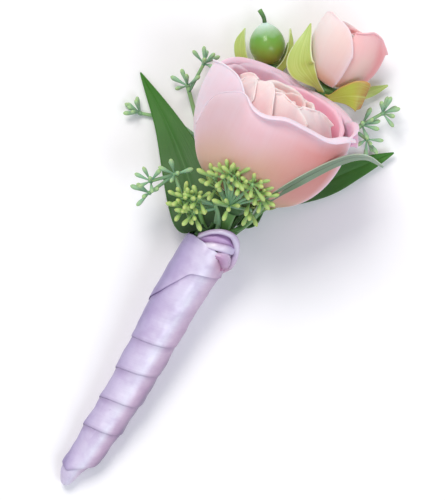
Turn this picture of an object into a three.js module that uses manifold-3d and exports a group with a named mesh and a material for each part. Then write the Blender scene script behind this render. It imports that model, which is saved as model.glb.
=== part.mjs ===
// A boutonniere laid on its back: an open rose, a rosebud, a berry, ruscus leaves and seeded
// eucalyptus, their cut stems bound with tape and wound with satin ribbon that is knotted at the neck.
// Millimetres. +Y runs along the handle to the flowers, +X to the right, +Z up from the table.
// Places are first given from the tip of the handle, and the whole is then set on its own centre.
import * as THREE from "three";
import { mergeVertices } from "three/addons/utils/BufferGeometryUtils.js";
import Module from "manifold-3d";

const wasm = await Module();
wasm.setup();

const rad = THREE.MathUtils.degToRad;
const point = (x, y, z) => new THREE.Vector3(x, y, z);
const upright = point(0, 0, 1);

// Driving dimensions
const handleLength = 71; // ribbon-wound stems
const handleRise = 8.5; // degrees, from the tip on the table up to the neck
const handleTipHeight = 2.2;
const handleRadii = [
  [0, 1.3], [1.2, 2.3], [5, 3.3], [12, 4.1], [25, 4.8], [42, 5.5], [58, 6.1], [66, 6.3], [71, 6.0],
]; // [along the handle, radius]
const clearance = 0.3; // between pieces that touch on the real thing
const tapeThickness = 0.6;
const ribbonStep = 0.45; // height of a turn's lower edge over the turn below
const ribbonThickness = 0.65;
const ribbonPitch = 8.4;
const ribbonStart = 0.8; // along the handle, where the first turn's edge leaves its right side
const closeTurns = 5; // wound at ribbonPitch, before the ribbon climbs faster to the knot
const climbPitch = 19;
const ribbonColumns = 15;
const knotLoopRadius = 1.3;
const knotBandRadius = 1.5;

const rose = { radius: 19.2, height: 26, close: 104, base: point(-1.2, 82, 18), left: 6, up: 16 };
const bud = { radius: 7.7, height: 17.4, close: 128, base: point(3.5, 116.1, 5.3), left: 5, up: 20 };
const berry = { base: point(-11.4, 112.2, 4.8), left: 38, up: 12 };

const petalThickness = 0.6;
const leafThickness = 0.7;
const roseStemRadius = 1.5;
const smallStemRadius = 0.55;
const stemRingRadius = 2.75; // centres of the small stems round the rose's stem
const stemSides = 5;
const branchRadius = 0.42;
const styleRadius = 0.6;

const colours = {
  petal: [0xf3cfd0, 0.6],
  budPetal: [0xf3bcb4, 0.6],
  calyx: [0x9dbb4e, 0.55],
  berry: [0x5fa83f, 0.25],
  leaf: [0x2f6a2c, 0.4],
  eucalyptus: [0x8fbf7c, 0.6],
  tape: [0x3f6b3a, 0.8],
  ribbon: [0xd6c4e4, 0.35],
};

// Solids

function toSolid(geometry) {
  const loose = geometry.index ? geometry.toNonIndexed() : geometry;
  const bare = new THREE.BufferGeometry().setAttribute("position", loose.getAttribute("position").clone());
  const merged = mergeVertices(bare, 1e-4);
  const faces = [];
  for (let i = 0; i < merged.index.count; i += 3) {
    const [a, b, c] = [0, 1, 2].map((k) => merged.index.getX(i + k));
    if (a !== b && b !== c && a !== c) faces.push(a, b, c);
  }
  return new wasm.Manifold(
    new wasm.Mesh({
      numProp: 3,
      vertProperties: merged.attributes.position.array,
      triVerts: new Uint32Array(faces),
    }),
  );
}

function toGeometry(solid) {
  const mesh = solid.getMesh();
  const places = new Float32Array(mesh.numVert * 3);
  for (let i = 0; i < mesh.numVert; i++) {
    places.set(mesh.vertProperties.subarray(i * mesh.numProp, i * mesh.numProp + 3), i * 3);
  }
  const geometry = new THREE.BufferGeometry();
  geometry.setAttribute("position", new THREE.BufferAttribute(places, 3));
  geometry.setIndex(new THREE.BufferAttribute(new Uint32Array(mesh.triVerts), 1));
  geometry.computeVertexNormals();
  return geometry;
}

// Joins closed geometries in one body. A sealed hollow is filled and a tiny scrap is dropped.
function fuse(geometries) {
  const joined = geometries.map(toSolid).reduce((whole, next) => whole.add(next));
  const [body, ...scraps] = joined.decompose().sort((a, b) => b.volume() - a.volume());
  if (scraps.some((scrap) => scrap.volume() > 0.2)) throw new Error("A part of this piece hangs loose.");
  return body;
}

function material([colour, roughness]) {
  return new THREE.MeshStandardMaterial({ color: colour, roughness, metalness: 0 });
}

function piece(name, solid, look) {
  const mesh = new THREE.Mesh(toGeometry(solid), material(look));
  mesh.name = name;
  return mesh;
}

// Shapes

// A closed blade round a middle surface: place(a, b) takes a from -1 to 1 across it and b from 0 to 1
// along it. Both faces are split into the same triangles.
function blade(place, across, along, thickness) {
  const columns = across + 1;
  const count = columns * (along + 1);
  const step = 1e-3;
  const places = [];
  for (const side of [0.5, -0.5]) {
    for (let j = 0; j <= along; j++) {
      for (let i = 0; i <= across; i++) {
        const a = (2 * i) / across - 1;
        const b = j / along;
        const acrossIt = place(a + step, b).sub(place(a - step, b));
        const alongIt = place(a, Math.min(b + step, 1)).sub(place(a, Math.max(b - step, 0)));
        const normal = acrossIt.cross(alongIt).normalize();
        places.push(...place(a, b).addScaledVector(normal, side * thickness).toArray());
      }
    }
  }
  const faces = [];
  for (let j = 0; j < along; j++) {
    for (let i = 0; i < across; i++) {
      const [p, q, r, s] = [0, 1, columns, columns + 1].map((k) => j * columns + i + k);
      faces.push(p, q, s, p, s, r);
      faces.push(count + p, count + s, count + q, count + p, count + r, count + s);
    }
  }
  const rim = [];
  for (let i = 0; i < across; i++) rim.push(i);
  for (let j = 0; j < along; j++) rim.push(j * columns + across);
  for (let i = across; i > 0; i--) rim.push(along * columns + i);
  for (let j = along; j > 0; j--) rim.push(j * columns);
  rim.forEach((m, k) => {
    const n = rim[(k + 1) % rim.length];
    faces.push(count + m, count + n, n, count + m, n, m);
  });
  const geometry = new THREE.BufferGeometry();
  geometry.setAttribute("position", new THREE.Float32BufferAttribute(places, 3));
  geometry.setIndex(faces);
  return geometry;
}

// A round stem along a smooth curve through the points.
function stem(points, radius, steps) {
  const ring = [];
  for (let i = 0; i < stemSides; i++) {
    const turn = (2 * Math.PI * i) / stemSides;
    ring.push(new THREE.Vector2(radius * Math.cos(turn), radius * Math.sin(turn)));
  }
  return new THREE.ExtrudeGeometry(new THREE.Shape(ring), {
    steps,
    bevelEnabled: false,
    extrudePath: new THREE.CatmullRomCurve3(points, false, "centripetal"),
  });
}

// A turned body whose profile of [radius, height] pairs stands along a direction from a place.
function turned(profile, segments, place, direction) {
  const geometry = new THREE.LatheGeometry(profile.map(([r, h]) => new THREE.Vector2(r, h)), segments);
  const turn = new THREE.Quaternion().setFromUnitVectors(point(0, 1, 0), direction.clone().normalize());
  return geometry.applyQuaternion(turn).translate(place.x, place.y, place.z);
}

// A flower's own frame: x to the right, y away from the viewer above, z along its axis.
function flowerFrame({ base, left, up }) {
  const axis = point(
    -Math.sin(rad(left)) * Math.cos(rad(up)),
    Math.cos(rad(left)) * Math.cos(rad(up)),
    Math.sin(rad(up)),
  );
  const right = axis.clone().cross(point(0, 0, 1)).normalize();
  const down = axis.clone().cross(right);
  return new THREE.Matrix4().makeBasis(right, down, axis).setPosition(base);
}

// Petals

// The bowl that a flower's petals follow: share 0 is the root and 1 the rim.
function bowl(radius, height, close, share) {
  const swing = rad(close) * share;
  return [
    radius * Math.max(Math.sin(swing), 0.001) ** 0.85,
    (height * (1 - Math.cos(swing))) / (1 - Math.cos(rad(close))),
  ];
}

// The value at x on the straight lines between [x, value] pairs.
function valueAt(pairs, x) {
  const after = pairs.findIndex(([from]) => from >= x);
  if (after <= 0) return pairs[after === 0 ? 0 : pairs.length - 1][1];
  const [x0, y0] = pairs[after - 1];
  const [x1, y1] = pairs[after];
  return THREE.MathUtils.lerp(y0, y1, (x - x0) / (x1 - x0));
}

// A petal follows the bowl up to its lip and rolls outward from there. rim is the share of the bowl
// that it reaches at each turn, and lip the radius of its roll there.
const petalRoot = 0.17;
const rollFrom = 0.68;
const rollAllowance = 38; // the bowl's own length, roughly, in millimetres

function petal(spec) {
  const { radius, height, centre, half, close, rim, lip } = spec;
  const { out = 0, twist = 0, curl = 120, corner = 0.2 } = spec;
  return (a, b) => {
    const turn = centre + half * a;
    const roll = Array.isArray(lip) ? valueAt(lip, turn) : lip;
    const reached = rim ? valueAt(rim, turn) : 1 - corner * Math.abs(a) ** 2.6;
    const top = Math.max(reached - roll / rollAllowance, petalRoot + 0.05);
    const share = petalRoot + (top - petalRoot) * Math.min(1, b / rollFrom);
    const [r, h] = bowl(radius, height, close, share);
    const [nextR, nextH] = bowl(radius, height, close, share + 0.002);
    const ahead = new THREE.Vector2(nextR - r, nextH - h).normalize();
    const rolled = Math.max(0, (b - rollFrom) / (1 - rollFrom)) * rad(curl);
    const along = roll * Math.sin(rolled);
    const outward = roll * (1 - Math.cos(rolled));
    const reach = r + ahead.x * along + ahead.y * outward + (out + twist * a) * Math.min(1, share * 6);
    const rise = h + ahead.y * along - ahead.x * outward;
    return point(reach * Math.sin(rad(turn)), -reach * Math.cos(rad(turn)), rise);
  };
}

// Rings of petals from the outside in. step is the turn from one petal to the next.
function petalRings(size, rings) {
  return rings.flatMap(({ share, count, start, step, across, along, ...shape }) =>
    Array.from({ length: count }, (_, k) =>
      blade(
        petal({ ...shape, radius: size.radius * share, centre: start + step * k }),
        across,
        along,
        petalThickness,
      ),
    ),
  );
}

// The outer petals of a flower, on its own bowl.
function guardPetals(flower, guards, along) {
  return guards.map((guard) => blade(petal({ ...flower, ...guard }), guard.across, along, petalThickness));
}

function rosePetals(frame) {
  const frontRim = [
    [-58, 0.66], [-55, 0.82], [-47, 0.94], [-37, 1.01], [-26, 1.055], [-15, 1.0],
    [-6, 0.995], [6, 1.045], [24, 1.03], [39, 1.005], [53, 1.035], [65, 1.01],
  ];
  const frontLip = [
    [-58, 0.1], [-30, 0.2], [-20, 1.0], [-8, 2.0],
    [30, 1.9], [50, 2.3], [60, 2.1], [68, 0.6],
  ];
  const leftRim = [
    [-132, 0.72], [-110, 0.95], [-83, 1.02], [-59, 1.07],
    [-45, 1.08], [-29, 1.02], [-20, 0.9],
  ];
  const rightRim = [[32, 0.8], [50, 0.9], [66, 0.96], [80, 1.0], [110, 1.02], [136, 0.9]];
  const rightLip = [[32, 0.05], [66, 0.1], [80, 1.0], [110, 1.5], [136, 0.8]];
  const outer = guardPetals(
    rose,
    [
      { centre: 5, half: 63, out: 1.4, height: 25.3, rim: frontRim, lip: frontLip, curl: 150, across: 9 },
      { centre: -76, half: 56, out: 0.1, height: 26.5, rim: leftRim, lip: 0.5, curl: 110, across: 6 },
      { centre: 84, half: 52, out: -0.2, twist: 0.5, height: 25, rim: rightRim, lip: rightLip, across: 6 },
      { centre: 152, half: 54, out: -1.2, height: 25, lip: 1.3, curl: 110, corner: 0.1, across: 5 },
      { centre: -146, half: 56, out: -2.0, height: 27, lip: 1.1, curl: 100, corner: 0.08, across: 5 },
    ],
    5,
  );
  const fold = { count: 1, step: 0, lip: 0.4, curl: 90, across: 4, along: 4 };
  const ring = { twist: 0.7, curl: 90, across: 4, along: 3 };
  const inner = petalRings(rose, [
    { ...fold, share: 0.82, height: 28, close: 150, start: -62, half: 40, out: -0.2 },
    { ...fold, share: 0.78, height: 27.4, close: 150, start: 38, half: 46, out: 0.1 },
    { ...fold, share: 0.74, height: 28.6, close: 156, start: -16, half: 44, out: -0.2 },
    { ...ring, share: 0.72, height: 26.4, close: 132, count: 4, start: 92, step: 58, half: 42, lip: 0.5 },
    { ...ring, share: 0.6, height: 27, close: 132, count: 4, start: 2, step: 90, half: 54, lip: 0.4 },
    { ...ring, share: 0.48, height: 26.6, close: 128, count: 4, start: 24, step: 90, half: 56, lip: 0.35 },
    { ...ring, share: 0.36, height: 26.2, close: 124, count: 4, start: 62, step: 90, half: 58, lip: 0.3 },
    { ...ring, share: 0.24, height: 25.4, close: 122, count: 3, start: 12, step: 120, half: 70, lip: 0 },
  ]);
  const heart = turned([[0, 1], [1.5, 2], [1.0, 14], [0, 21]], 5, point(0, 0, 0), upright);
  const seat = turned([[0, -0.6], [7.6, 0.5], [7.8, 3.2], [0, 3.6]], 10, point(0, 0, 0), upright);
  return [...outer, ...inner, heart, seat].map((shape) => shape.applyMatrix4(frame));
}

function budPetals(frame) {
  const leftRim = [[-114, 0.8], [-85, 0.93], [-60, 0.98], [-30, 0.99], [-11, 0.95], [3, 0.85], [14, 0.7]];
  const rightRim = [[0, 0.96], [20, 1.0], [38, 1.03], [62, 0.98], [84, 0.86], [92, 0.8]];
  const outer = guardPetals(
    bud,
    [
      { centre: -50, half: 64, out: 1.0, rim: leftRim, lip: 0.3, curl: 80, across: 5 },
      { centre: 46, half: 46, out: 0.3, twist: 0.8, rim: rightRim, lip: 0.5, curl: 110, across: 5 },
      { centre: 150, half: 70, out: -0.5, height: 15.2, lip: 0.4, curl: 90, corner: 0.1, across: 4 },
      { centre: -130, half: 60, out: 0.2, height: 15, lip: 0.4, curl: 90, corner: 0.1, across: 4 },
    ],
    4,
  );
  const ring = { count: 3, step: 120, twist: 0.5, lip: 0.2, curl: 70, across: 4, along: 3 };
  const inner = petalRings(bud, [
    { ...ring, share: 0.76, height: 16.2, close: 144, start: 10, half: 66 },
    { ...ring, share: 0.46, height: 15.6, close: 142, start: 70, half: 72 },
  ]);
  const heart = turned([[0, 1], [0.9, 3], [0.8, 11], [0, 14.6]], 5, point(0, 0, 0), upright);
  const seat = turned([[0, -0.3], [3.4, 0.3], [3.4, 2.0], [0, 2.6]], 8, point(0, 0, 0), upright);
  return [...outer, ...inner, heart, seat].map((shape) => shape.applyMatrix4(frame));
}

// Green parts under the flowers

// A pointed blade that leaves a hip at a turn round the flower's axis: run(b) gives [radius, height].
function sepal({ turn, halfWidth, run }) {
  return (a, b) => {
    const [r, h] = run(b);
    const across = a * (halfWidth * (1 - b) ** 0.7 * (0.75 + b) + 0.25);
    const hollow = 0.12 * halfWidth * a * a;
    const angle = rad(turn);
    const side = point(Math.cos(angle), Math.sin(angle), 0);
    const outward = point(Math.sin(angle), -Math.cos(angle), 0);
    return outward.multiplyScalar(r + hollow).addScaledVector(side, across).add(point(0, 0, h + hollow));
  };
}

function calyx(frame, hip, sepals, across, along) {
  const shapes = sepals.map((spec) => blade(sepal(spec), across, along, leafThickness));
  return [turned(hip, 8, point(0, 0, 0), upright), ...shapes].map((shape) => shape.applyMatrix4(frame));
}

// A sepal along a spine of its own. widths is its half width along it, hollow lifts its edges.
function freeSepal({ spine, widths, faces, hollow }) {
  const curve = new THREE.CatmullRomCurve3(spine, false, "centripetal");
  const shape = (a, b) => {
    const tangent = curve.getTangent(b);
    const side = tangent.clone().cross(faces).normalize();
    const normal = side.clone().cross(tangent).normalize();
    const half = valueAt(widths, b) + 0.15;
    return curve.getPoint(b).addScaledVector(side, a * half).addScaledVector(normal, hollow * half * a * a);
  };
  return blade(shape, 2, 7, leafThickness);
}

// The handle

const handleRadius = (along) => valueAt(handleRadii, along);

// A point of the handle: along it, away from its axis, and turned from +X towards the top.
function handlePoint(along, away, turn) {
  const rise = rad(handleRise);
  const side = away * Math.cos(rad(turn));
  const lift = away * Math.sin(rad(turn));
  return point(
    side,
    along * Math.cos(rise) - lift * Math.sin(rise),
    handleTipHeight + along * Math.sin(rise) + lift * Math.cos(rise),
  );
}

const tapeFrom = 5;
const tapeTo = 71.4;
const tapeRadius = (along) => handleRadius(along) - ribbonStep - ribbonThickness - clearance;
const handleAxis = point(0, Math.cos(rad(handleRise)), Math.sin(rad(handleRise)));

// The straight stretch of a small stem inside the binding, at its own turn in the ring.
function boundStretch(turn, cutAt) {
  return [cutAt, (cutAt + 64) / 2, 64, 70, tapeTo + 1.7].map((along) => {
    const room = tapeRadius(along) - tapeThickness - 1.5 * clearance - smallStemRadius;
    return handlePoint(along, Math.min(stemRingRadius, room), turn);
  });
}

// Leaves

// A ruscus leaf along its spine. Its shoulder says how near to the base it is widest.
function leafShape({ spine, width, faces, fold = 0.06, shoulder = 0.62 }) {
  const curve = new THREE.CatmullRomCurve3(spine, false, "centripetal");
  const peak = shoulder / (shoulder + 0.95);
  const widest = peak ** shoulder * (1 - peak) ** 0.95;
  return (a, b) => {
    const tangent = curve.getTangent(b);
    const side = tangent.clone().cross(faces).normalize();
    const normal = side.clone().cross(tangent).normalize();
    const half = (0.5 * width * b ** shoulder * (1 - b) ** 0.95) / widest + 0.3;
    const lift = -fold * half * (1 - Math.abs(a));
    return curve.getPoint(b).addScaledVector(side, a * half).addScaledVector(normal, lift);
  };
}

function leaf({ cutAt, turn, petiole = [], spine, across = 4, along = 9, ...shape }) {
  const route = [...boundStretch(turn, cutAt), ...petiole, ...spine.slice(0, 2)];
  const flat = blade(leafShape({ spine, ...shape }), across, along, leafThickness);
  return fuse([flat, stem(route, smallStemRadius, 12)]);
}

// Seeded eucalyptus

const podProfile = [[0, 0.2], [0.4, 0.7], [0.98, 3.8], [0, 5.0]];
const knobRadius = 0.95;

// Club-shaped buds that spread from one hub, evenly over a cap round a direction.
function umbel({ hub, towards, count, spread = 75 }) {
  const turn = new THREE.Quaternion().setFromUnitVectors(point(0, 0, 1), towards.clone().normalize());
  const pods = Array.from({ length: count }, (_, k) => {
    const tilt = rad(spread) * Math.sqrt((k + 0.3) / count);
    const round = rad(137.5 * k);
    const out = point(Math.sin(tilt) * Math.cos(round), Math.sin(tilt) * Math.sin(round), Math.cos(tilt));
    return turned(podProfile, 4, hub, out.applyQuaternion(turn));
  });
  const knob = new THREE.OctahedronGeometry(knobRadius).translate(hub.x, hub.y, hub.z);
  return [knob, ...pods];
}

// A sprig: a main stem that starts in the binding, side branches, and an umbel at each branch's end.
function sprig({ cutAt, turn, main, branches }) {
  const route = [...boundStretch(turn, cutAt), ...main];
  const shapes = [stem(route, smallStemRadius, 14)];
  for (const { from, by, ...spec } of branches) {
    if (from) shapes.push(stem([from, by ?? from.clone().lerp(spec.hub, 0.5), spec.hub], branchRadius, 4));
    shapes.push(...umbel(spec));
  }
  return fuse(shapes);
}

// Ribbon and tape

// How far along the handle the ribbon's lower edge is after some turns.
const edgeHeight = (turns) =>
  ribbonStart + ribbonPitch * turns + Math.max(0, turns - closeTurns) * (climbPitch - ribbonPitch);

// The wound ribbon's outside: each turn's lower edge stands over the turn below it, along a helix.
function woundSurface() {
  const phases = [[0, 0], [0.05, 1], [0.5, 0.45]]; // share of a turn, share of the step
  const places = [];
  const faces = [];
  const turns = Math.ceil(handleLength / ribbonPitch) + 1;
  const rows = (turns + 1) * phases.length;
  const below = 2 * phases.length;
  for (let i = 0; i <= ribbonColumns; i++) {
    const round = i / ribbonColumns;
    for (let j = -below; j < rows; j++) {
      const cycle = Math.floor(j / phases.length);
      const [phase, lift] = phases[j - cycle * phases.length];
      const free = edgeHeight(cycle + phase + round);
      const along = Math.min(Math.max(free, 0), handleLength);
      const step = along === free ? ribbonStep * lift : 0;
      const away = handleRadius(along) + step - ribbonStep;
      places.push(...handlePoint(along, away, -360 * (round % 1)).toArray());
    }
  }
  const perColumn = rows + below;
  for (let i = 0; i < ribbonColumns; i++) {
    for (let j = 0; j < perColumn - 1; j++) {
      const [p, q] = [i * perColumn + j, (i + 1) * perColumn + j];
      faces.push(p, q, p + 1, q, q + 1, p + 1);
    }
  }
  const tip = places.length / 3;
  places.push(...handlePoint(0, 0, 0).toArray(), ...handlePoint(handleLength, 0, 0).toArray());
  for (let i = 0; i < ribbonColumns; i++) {
    faces.push(tip, (i + 1) * perColumn, i * perColumn);
    faces.push(tip + 1, (i + 1) * perColumn - 1, (i + 2) * perColumn - 1);
  }
  const geometry = new THREE.BufferGeometry();
  geometry.setAttribute("position", new THREE.Float32BufferAttribute(places, 3));
  geometry.setIndex(faces);
  return geometry;
}

// A round body along the handle, from [along, radius] pairs.
function alongHandle(profile, segments) {
  return turned(profile.map(([along, r]) => [r, along]), segments, handlePoint(0, 0, 0), handleAxis);
}

const stations = [tapeFrom, 12, 25, 42, 58, 70.9];

function ribbon(knot) {
  const hollow = [
    [tapeFrom - clearance, 0],
    ...stations.map((y) => [y === tapeFrom ? y - clearance : y, tapeRadius(y) + clearance]),
    [handleLength + 3, tapeRadius(handleLength) + clearance],
    [handleLength + 3, 0],
  ];
  const table = new THREE.BoxGeometry(60, 200, 20).translate(0, 60, -10);
  return knot
    .map(toSolid)
    .reduce((whole, next) => whole.add(next), toSolid(woundSurface()))
    .subtract(toSolid(alongHandle(hollow, 12)))
    .subtract(toSolid(table));
}

function tape() {
  const outside = [
    [tapeFrom, 0],
    ...stations.map((y) => [y, tapeRadius(y)]),
    [tapeTo, tapeRadius(handleLength)],
    [tapeTo, 0],
  ];
  const inside = [
    [tapeFrom + tapeThickness, 0],
    ...stations.map((y, k) => [k ? y : y + tapeThickness, tapeRadius(y) - tapeThickness]),
    [tapeTo + 1, tapeRadius(handleLength) - tapeThickness],
    [tapeTo + 1, 0],
  ];
  return toSolid(alongHandle(outside, 12)).subtract(toSolid(alongHandle(inside, 12)));
}

// The flowers

const roseFrame = flowerFrame(rose);
const budFrame = flowerFrame(bud);
const berryFrame = flowerFrame(berry);
const inFrame = (frame, x, y, z) => point(x, y, z).applyMatrix4(frame);

const boutonniere = new THREE.Group();
boutonniere.add(piece("rose_petals", fuse(rosePetals(roseFrame)), colours.petal));
boutonniere.add(piece("rosebud_petals", fuse(budPetals(budFrame)), colours.budPetal));

// A sepal's course along the outside of a flower's bowl, from one share of it to another.
function alongBowl(flower, from, to, gap, away = 0) {
  return (b) => {
    const [r, h] = bowl(flower.radius, flower.height, flower.close, from + (to - from) * b);
    const swing = rad(flower.close * (from + (to - from) * b));
    const off = gap + away * b * b;
    return [r + off * Math.sin(swing), h - off * Math.cos(swing)];
  };
}

const roseHip = [[0, -5.8], [1.7, -5.6], [3.1, -4.6], [3.3, -3.4], [3.0, -2.6], [3.8, -2.0], [0, -1.6]];
const roseSepals = [36, 108, 180, 252, 324].map((turn) => ({
  turn,
  halfWidth: 2.6,
  run: alongBowl(rose, 0.06, 0.22, 2.4),
}));
const roseStemRoute = [
  ...[14, 28, 45, 62, 72.5].map((along) => handlePoint(along, 0, 0)),
  inFrame(roseFrame, 0, 0.6, -7.2),
  inFrame(roseFrame, 0, 0, -4.5),
];
boutonniere.add(
  piece(
    "rose_calyx_and_stem",
    fuse([...calyx(roseFrame, roseHip, roseSepals, 2, 4), stem(roseStemRoute, roseStemRadius, 12)]),
    colours.calyx,
  ),
);

const budHip = [[0, -5.4], [1.3, -5.2], [2.6, -3.6], [2.3, -1.8], [2.9, -1.3], [0, -1.0]];
const budBackSepals = [{ turn: 236, halfWidth: 2.6, run: alongBowl(bud, 0.05, 0.44, 1.6, 0.4) }];
const budSepals = [
  {
    spine: [
      point(3.2, 112.9, 5.6), point(1.2, 113.7, 8.6), point(-1.8, 114.4, 11.4), point(-4.8, 115.8, 12.2),
      point(-6.3, 118.8, 12.4), point(-7.2, 122.4, 12.0), point(-8.0, 125.8, 10.6),
    ],
    widths: [[0, 0.9], [0.17, 0.9], [0.33, 2.2], [0.5, 3.7], [0.67, 2.7], [0.83, 1.3], [1, 0.15]],
    faces: point(-0.5, 0, 1),
    hollow: 0.1,
  },
  {
    spine: [
      point(4.0, 112.5, 5.4), point(5.4, 112.8, 8.0), point(8.4, 115.2, 11.4),
      point(10.9, 116.6, 12.2), point(12.6, 117.4, 10.8),
    ],
    widths: [[0, 0.8], [0.25, 0.9], [0.5, 2.7], [0.8, 4.2], [1, 3.4]],
    faces: point(0.2, -0.35, 1),
    hollow: 0,
  },
  {
    spine: [
      point(4.6, 112.8, 3.8), point(9.4, 115.6, 2.6),
      point(12.8, 119.2, 2.4), point(15.8, 123.0, 3.0),
    ],
    widths: [[0, 0.9], [0.35, 1.6], [0.7, 1.3], [1, 0.15]],
    faces: upright,
    hollow: 0.1,
  },
];
const budStemRoute = [
  ...boundStretch(300, 40),
  point(2, 77, 7.6),
  point(2.8, 84, 3.6),
  point(4.2, 98, 2.2),
  inFrame(budFrame, 0, 0, -7),
  inFrame(budFrame, 0, 0, -4),
];
boutonniere.add(
  piece(
    "rosebud_calyx_and_stem",
    fuse([
      ...calyx(budFrame, budHip, budBackSepals, 2, 4),
      ...budSepals.map(freeSepal),
      stem(budStemRoute, smallStemRadius, 14),
    ]),
    colours.calyx,
  ),
);

// The berry with the style that stays on its tip.
const berryProfile = [
  [0, 0.1], [1.8, 0.3], [3.7, 2], [4.4, 4.4],
  [4.1, 6.8], [2.7, 9], [0.7, 10.3], [0, 10.4],
];
const berryBody = turned(berryProfile, 10, point(0, 0, 0), upright).applyMatrix4(berryFrame);
const style = [[0, 9.6], [-0.1, 11.6], [-0.9, 13.6]].map(([x, along]) => inFrame(berryFrame, x, 0, along));
boutonniere.add(
  piece(
    "berry",
    fuse([berryBody, stem(style, styleRadius, 3)]),
    colours.berry,
  ),
);
const berryHip = [[0, -1.8], [0.8, -1.7], [1.7, -0.9], [1.9, -0.4], [0, -0.3]];
const cupping = (b) => [1.6 + 3.9 * b ** 0.6, -0.7 + 5.2 * b ** 1.4];
const berryCup = [108, 160, 214].map((turn) => ({ turn, halfWidth: 1.6, run: cupping }));
const berrySepals = [
  {
    spine: [
      point(-10.6, 110.9, 4.5), point(-8.5, 112.4, 5.0), point(-7.5, 115.8, 6.0),
      point(-8.6, 119.4, 6.6), point(-10.9, 122.8, 7.0),
    ],
    widths: [[0, 0.7], [0.4, 0.8], [0.8, 0.5], [1, 0.1]],
    faces: point(0.4, -0.2, 1),
    hollow: 0.1,
  },
  {
    spine: [
      point(-10.8, 110.7, 4.4), point(-14.2, 108.6, 4.8), point(-18.4, 109.8, 5.6),
      point(-21.2, 112.8, 6.2), point(-22.4, 116.2, 6.8),
    ],
    widths: [[0, 0.8], [0.3, 1.5], [0.7, 1.4], [1, 0.15]],
    faces: point(-0.2, -0.3, 1),
    hollow: 0.1,
  },
];
const berryStemRoute = [
  ...boundStretch(240, 41),
  point(-2.2, 77, 7.6),
  point(-4.6, 86, 3.2),
  point(-8.2, 100, 2.2),
  inFrame(berryFrame, 0, 0, -4),
  inFrame(berryFrame, 0, 0, -1),
];
boutonniere.add(
  piece(
    "berry_sepals_and_stem",
    fuse([
      ...calyx(berryFrame, berryHip, berryCup, 2, 3),
      ...berrySepals.map(freeSepal),
      stem(berryStemRoute, smallStemRadius, 14),
    ]),
    colours.calyx,
  ),
);

// Leaves, each with its petiole
const onBowl = (share, turn, gap) => {
  const [r, h] = alongBowl(rose, 0, 1, gap)(share);
  return inFrame(roseFrame, r * Math.sin(rad(turn)), -r * Math.cos(rad(turn)), h);
};
const leaves = {
  ruscus_leaf_left: {
    turn: 180,
    cutAt: 50,
    petiole: [point(-3.6, 74.4, 12)],
    spine: [
      point(-4.6, 75.2, 10.8), point(-9.4, 76.8, 8.2), point(-17, 81.6, 4.8),
      point(-25, 87, 2.8), point(-37.2, 94.3, 0.9),
    ],
    width: 13,
    shoulder: 0.25,
    faces: point(0.1, -0.1, 1),
  },
  ruscus_leaf_right_low: {
    turn: 0,
    cutAt: 48,
    petiole: [point(4.4, 76.6, 11)],
    spine: [
      point(6.0, 82, 6.8), point(9.0, 88.4, 4.1), point(13.4, 95.4, 2.8),
      point(18.8, 102.4, 2.4), point(26, 110.2, 2.2),
    ],
    width: 8.4,
    shoulder: 1.3,
    faces: point(0.1, 0, 1),
  },
  ruscus_leaf_right_high: {
    turn: 60,
    cutAt: 52,
    petiole: [point(3.4, 74.6, 16.6)],
    spine: [
      point(5, 76.6, 20),
      onBowl(0.22, 30, 3.8),
      onBowl(0.42, 33, 3.6),
      onBowl(0.66, 42, 3.4),
      point(15.8, 98.2, 38.5),
      point(20.4, 102, 36),
      point(25.8, 104.2, 31),
    ],
    width: 4.2,
    shoulder: 0.9,
    faces: point(0.55, -0.45, 0.7),
    across: 2,
  },
  ruscus_leaf_back: {
    turn: 270,
    cutAt: 46,
    petiole: [point(-0.4, 73.4, 8.2)],
    spine: [
      point(-0.8, 74.2, 6.0), point(-1.2, 78.6, 2.4), point(-1.2, 87, 0.55),
      point(-1.6, 97, 0.4), point(-2.6, 108.5, 0.4),
    ],
    width: 15,
    shoulder: 0.28,
    faces: upright,
    fold: 0,
  },
};
for (const [name, spec] of Object.entries(leaves)) {
  boutonniere.add(piece(name, leaf(spec), colours.leaf));
}

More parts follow.
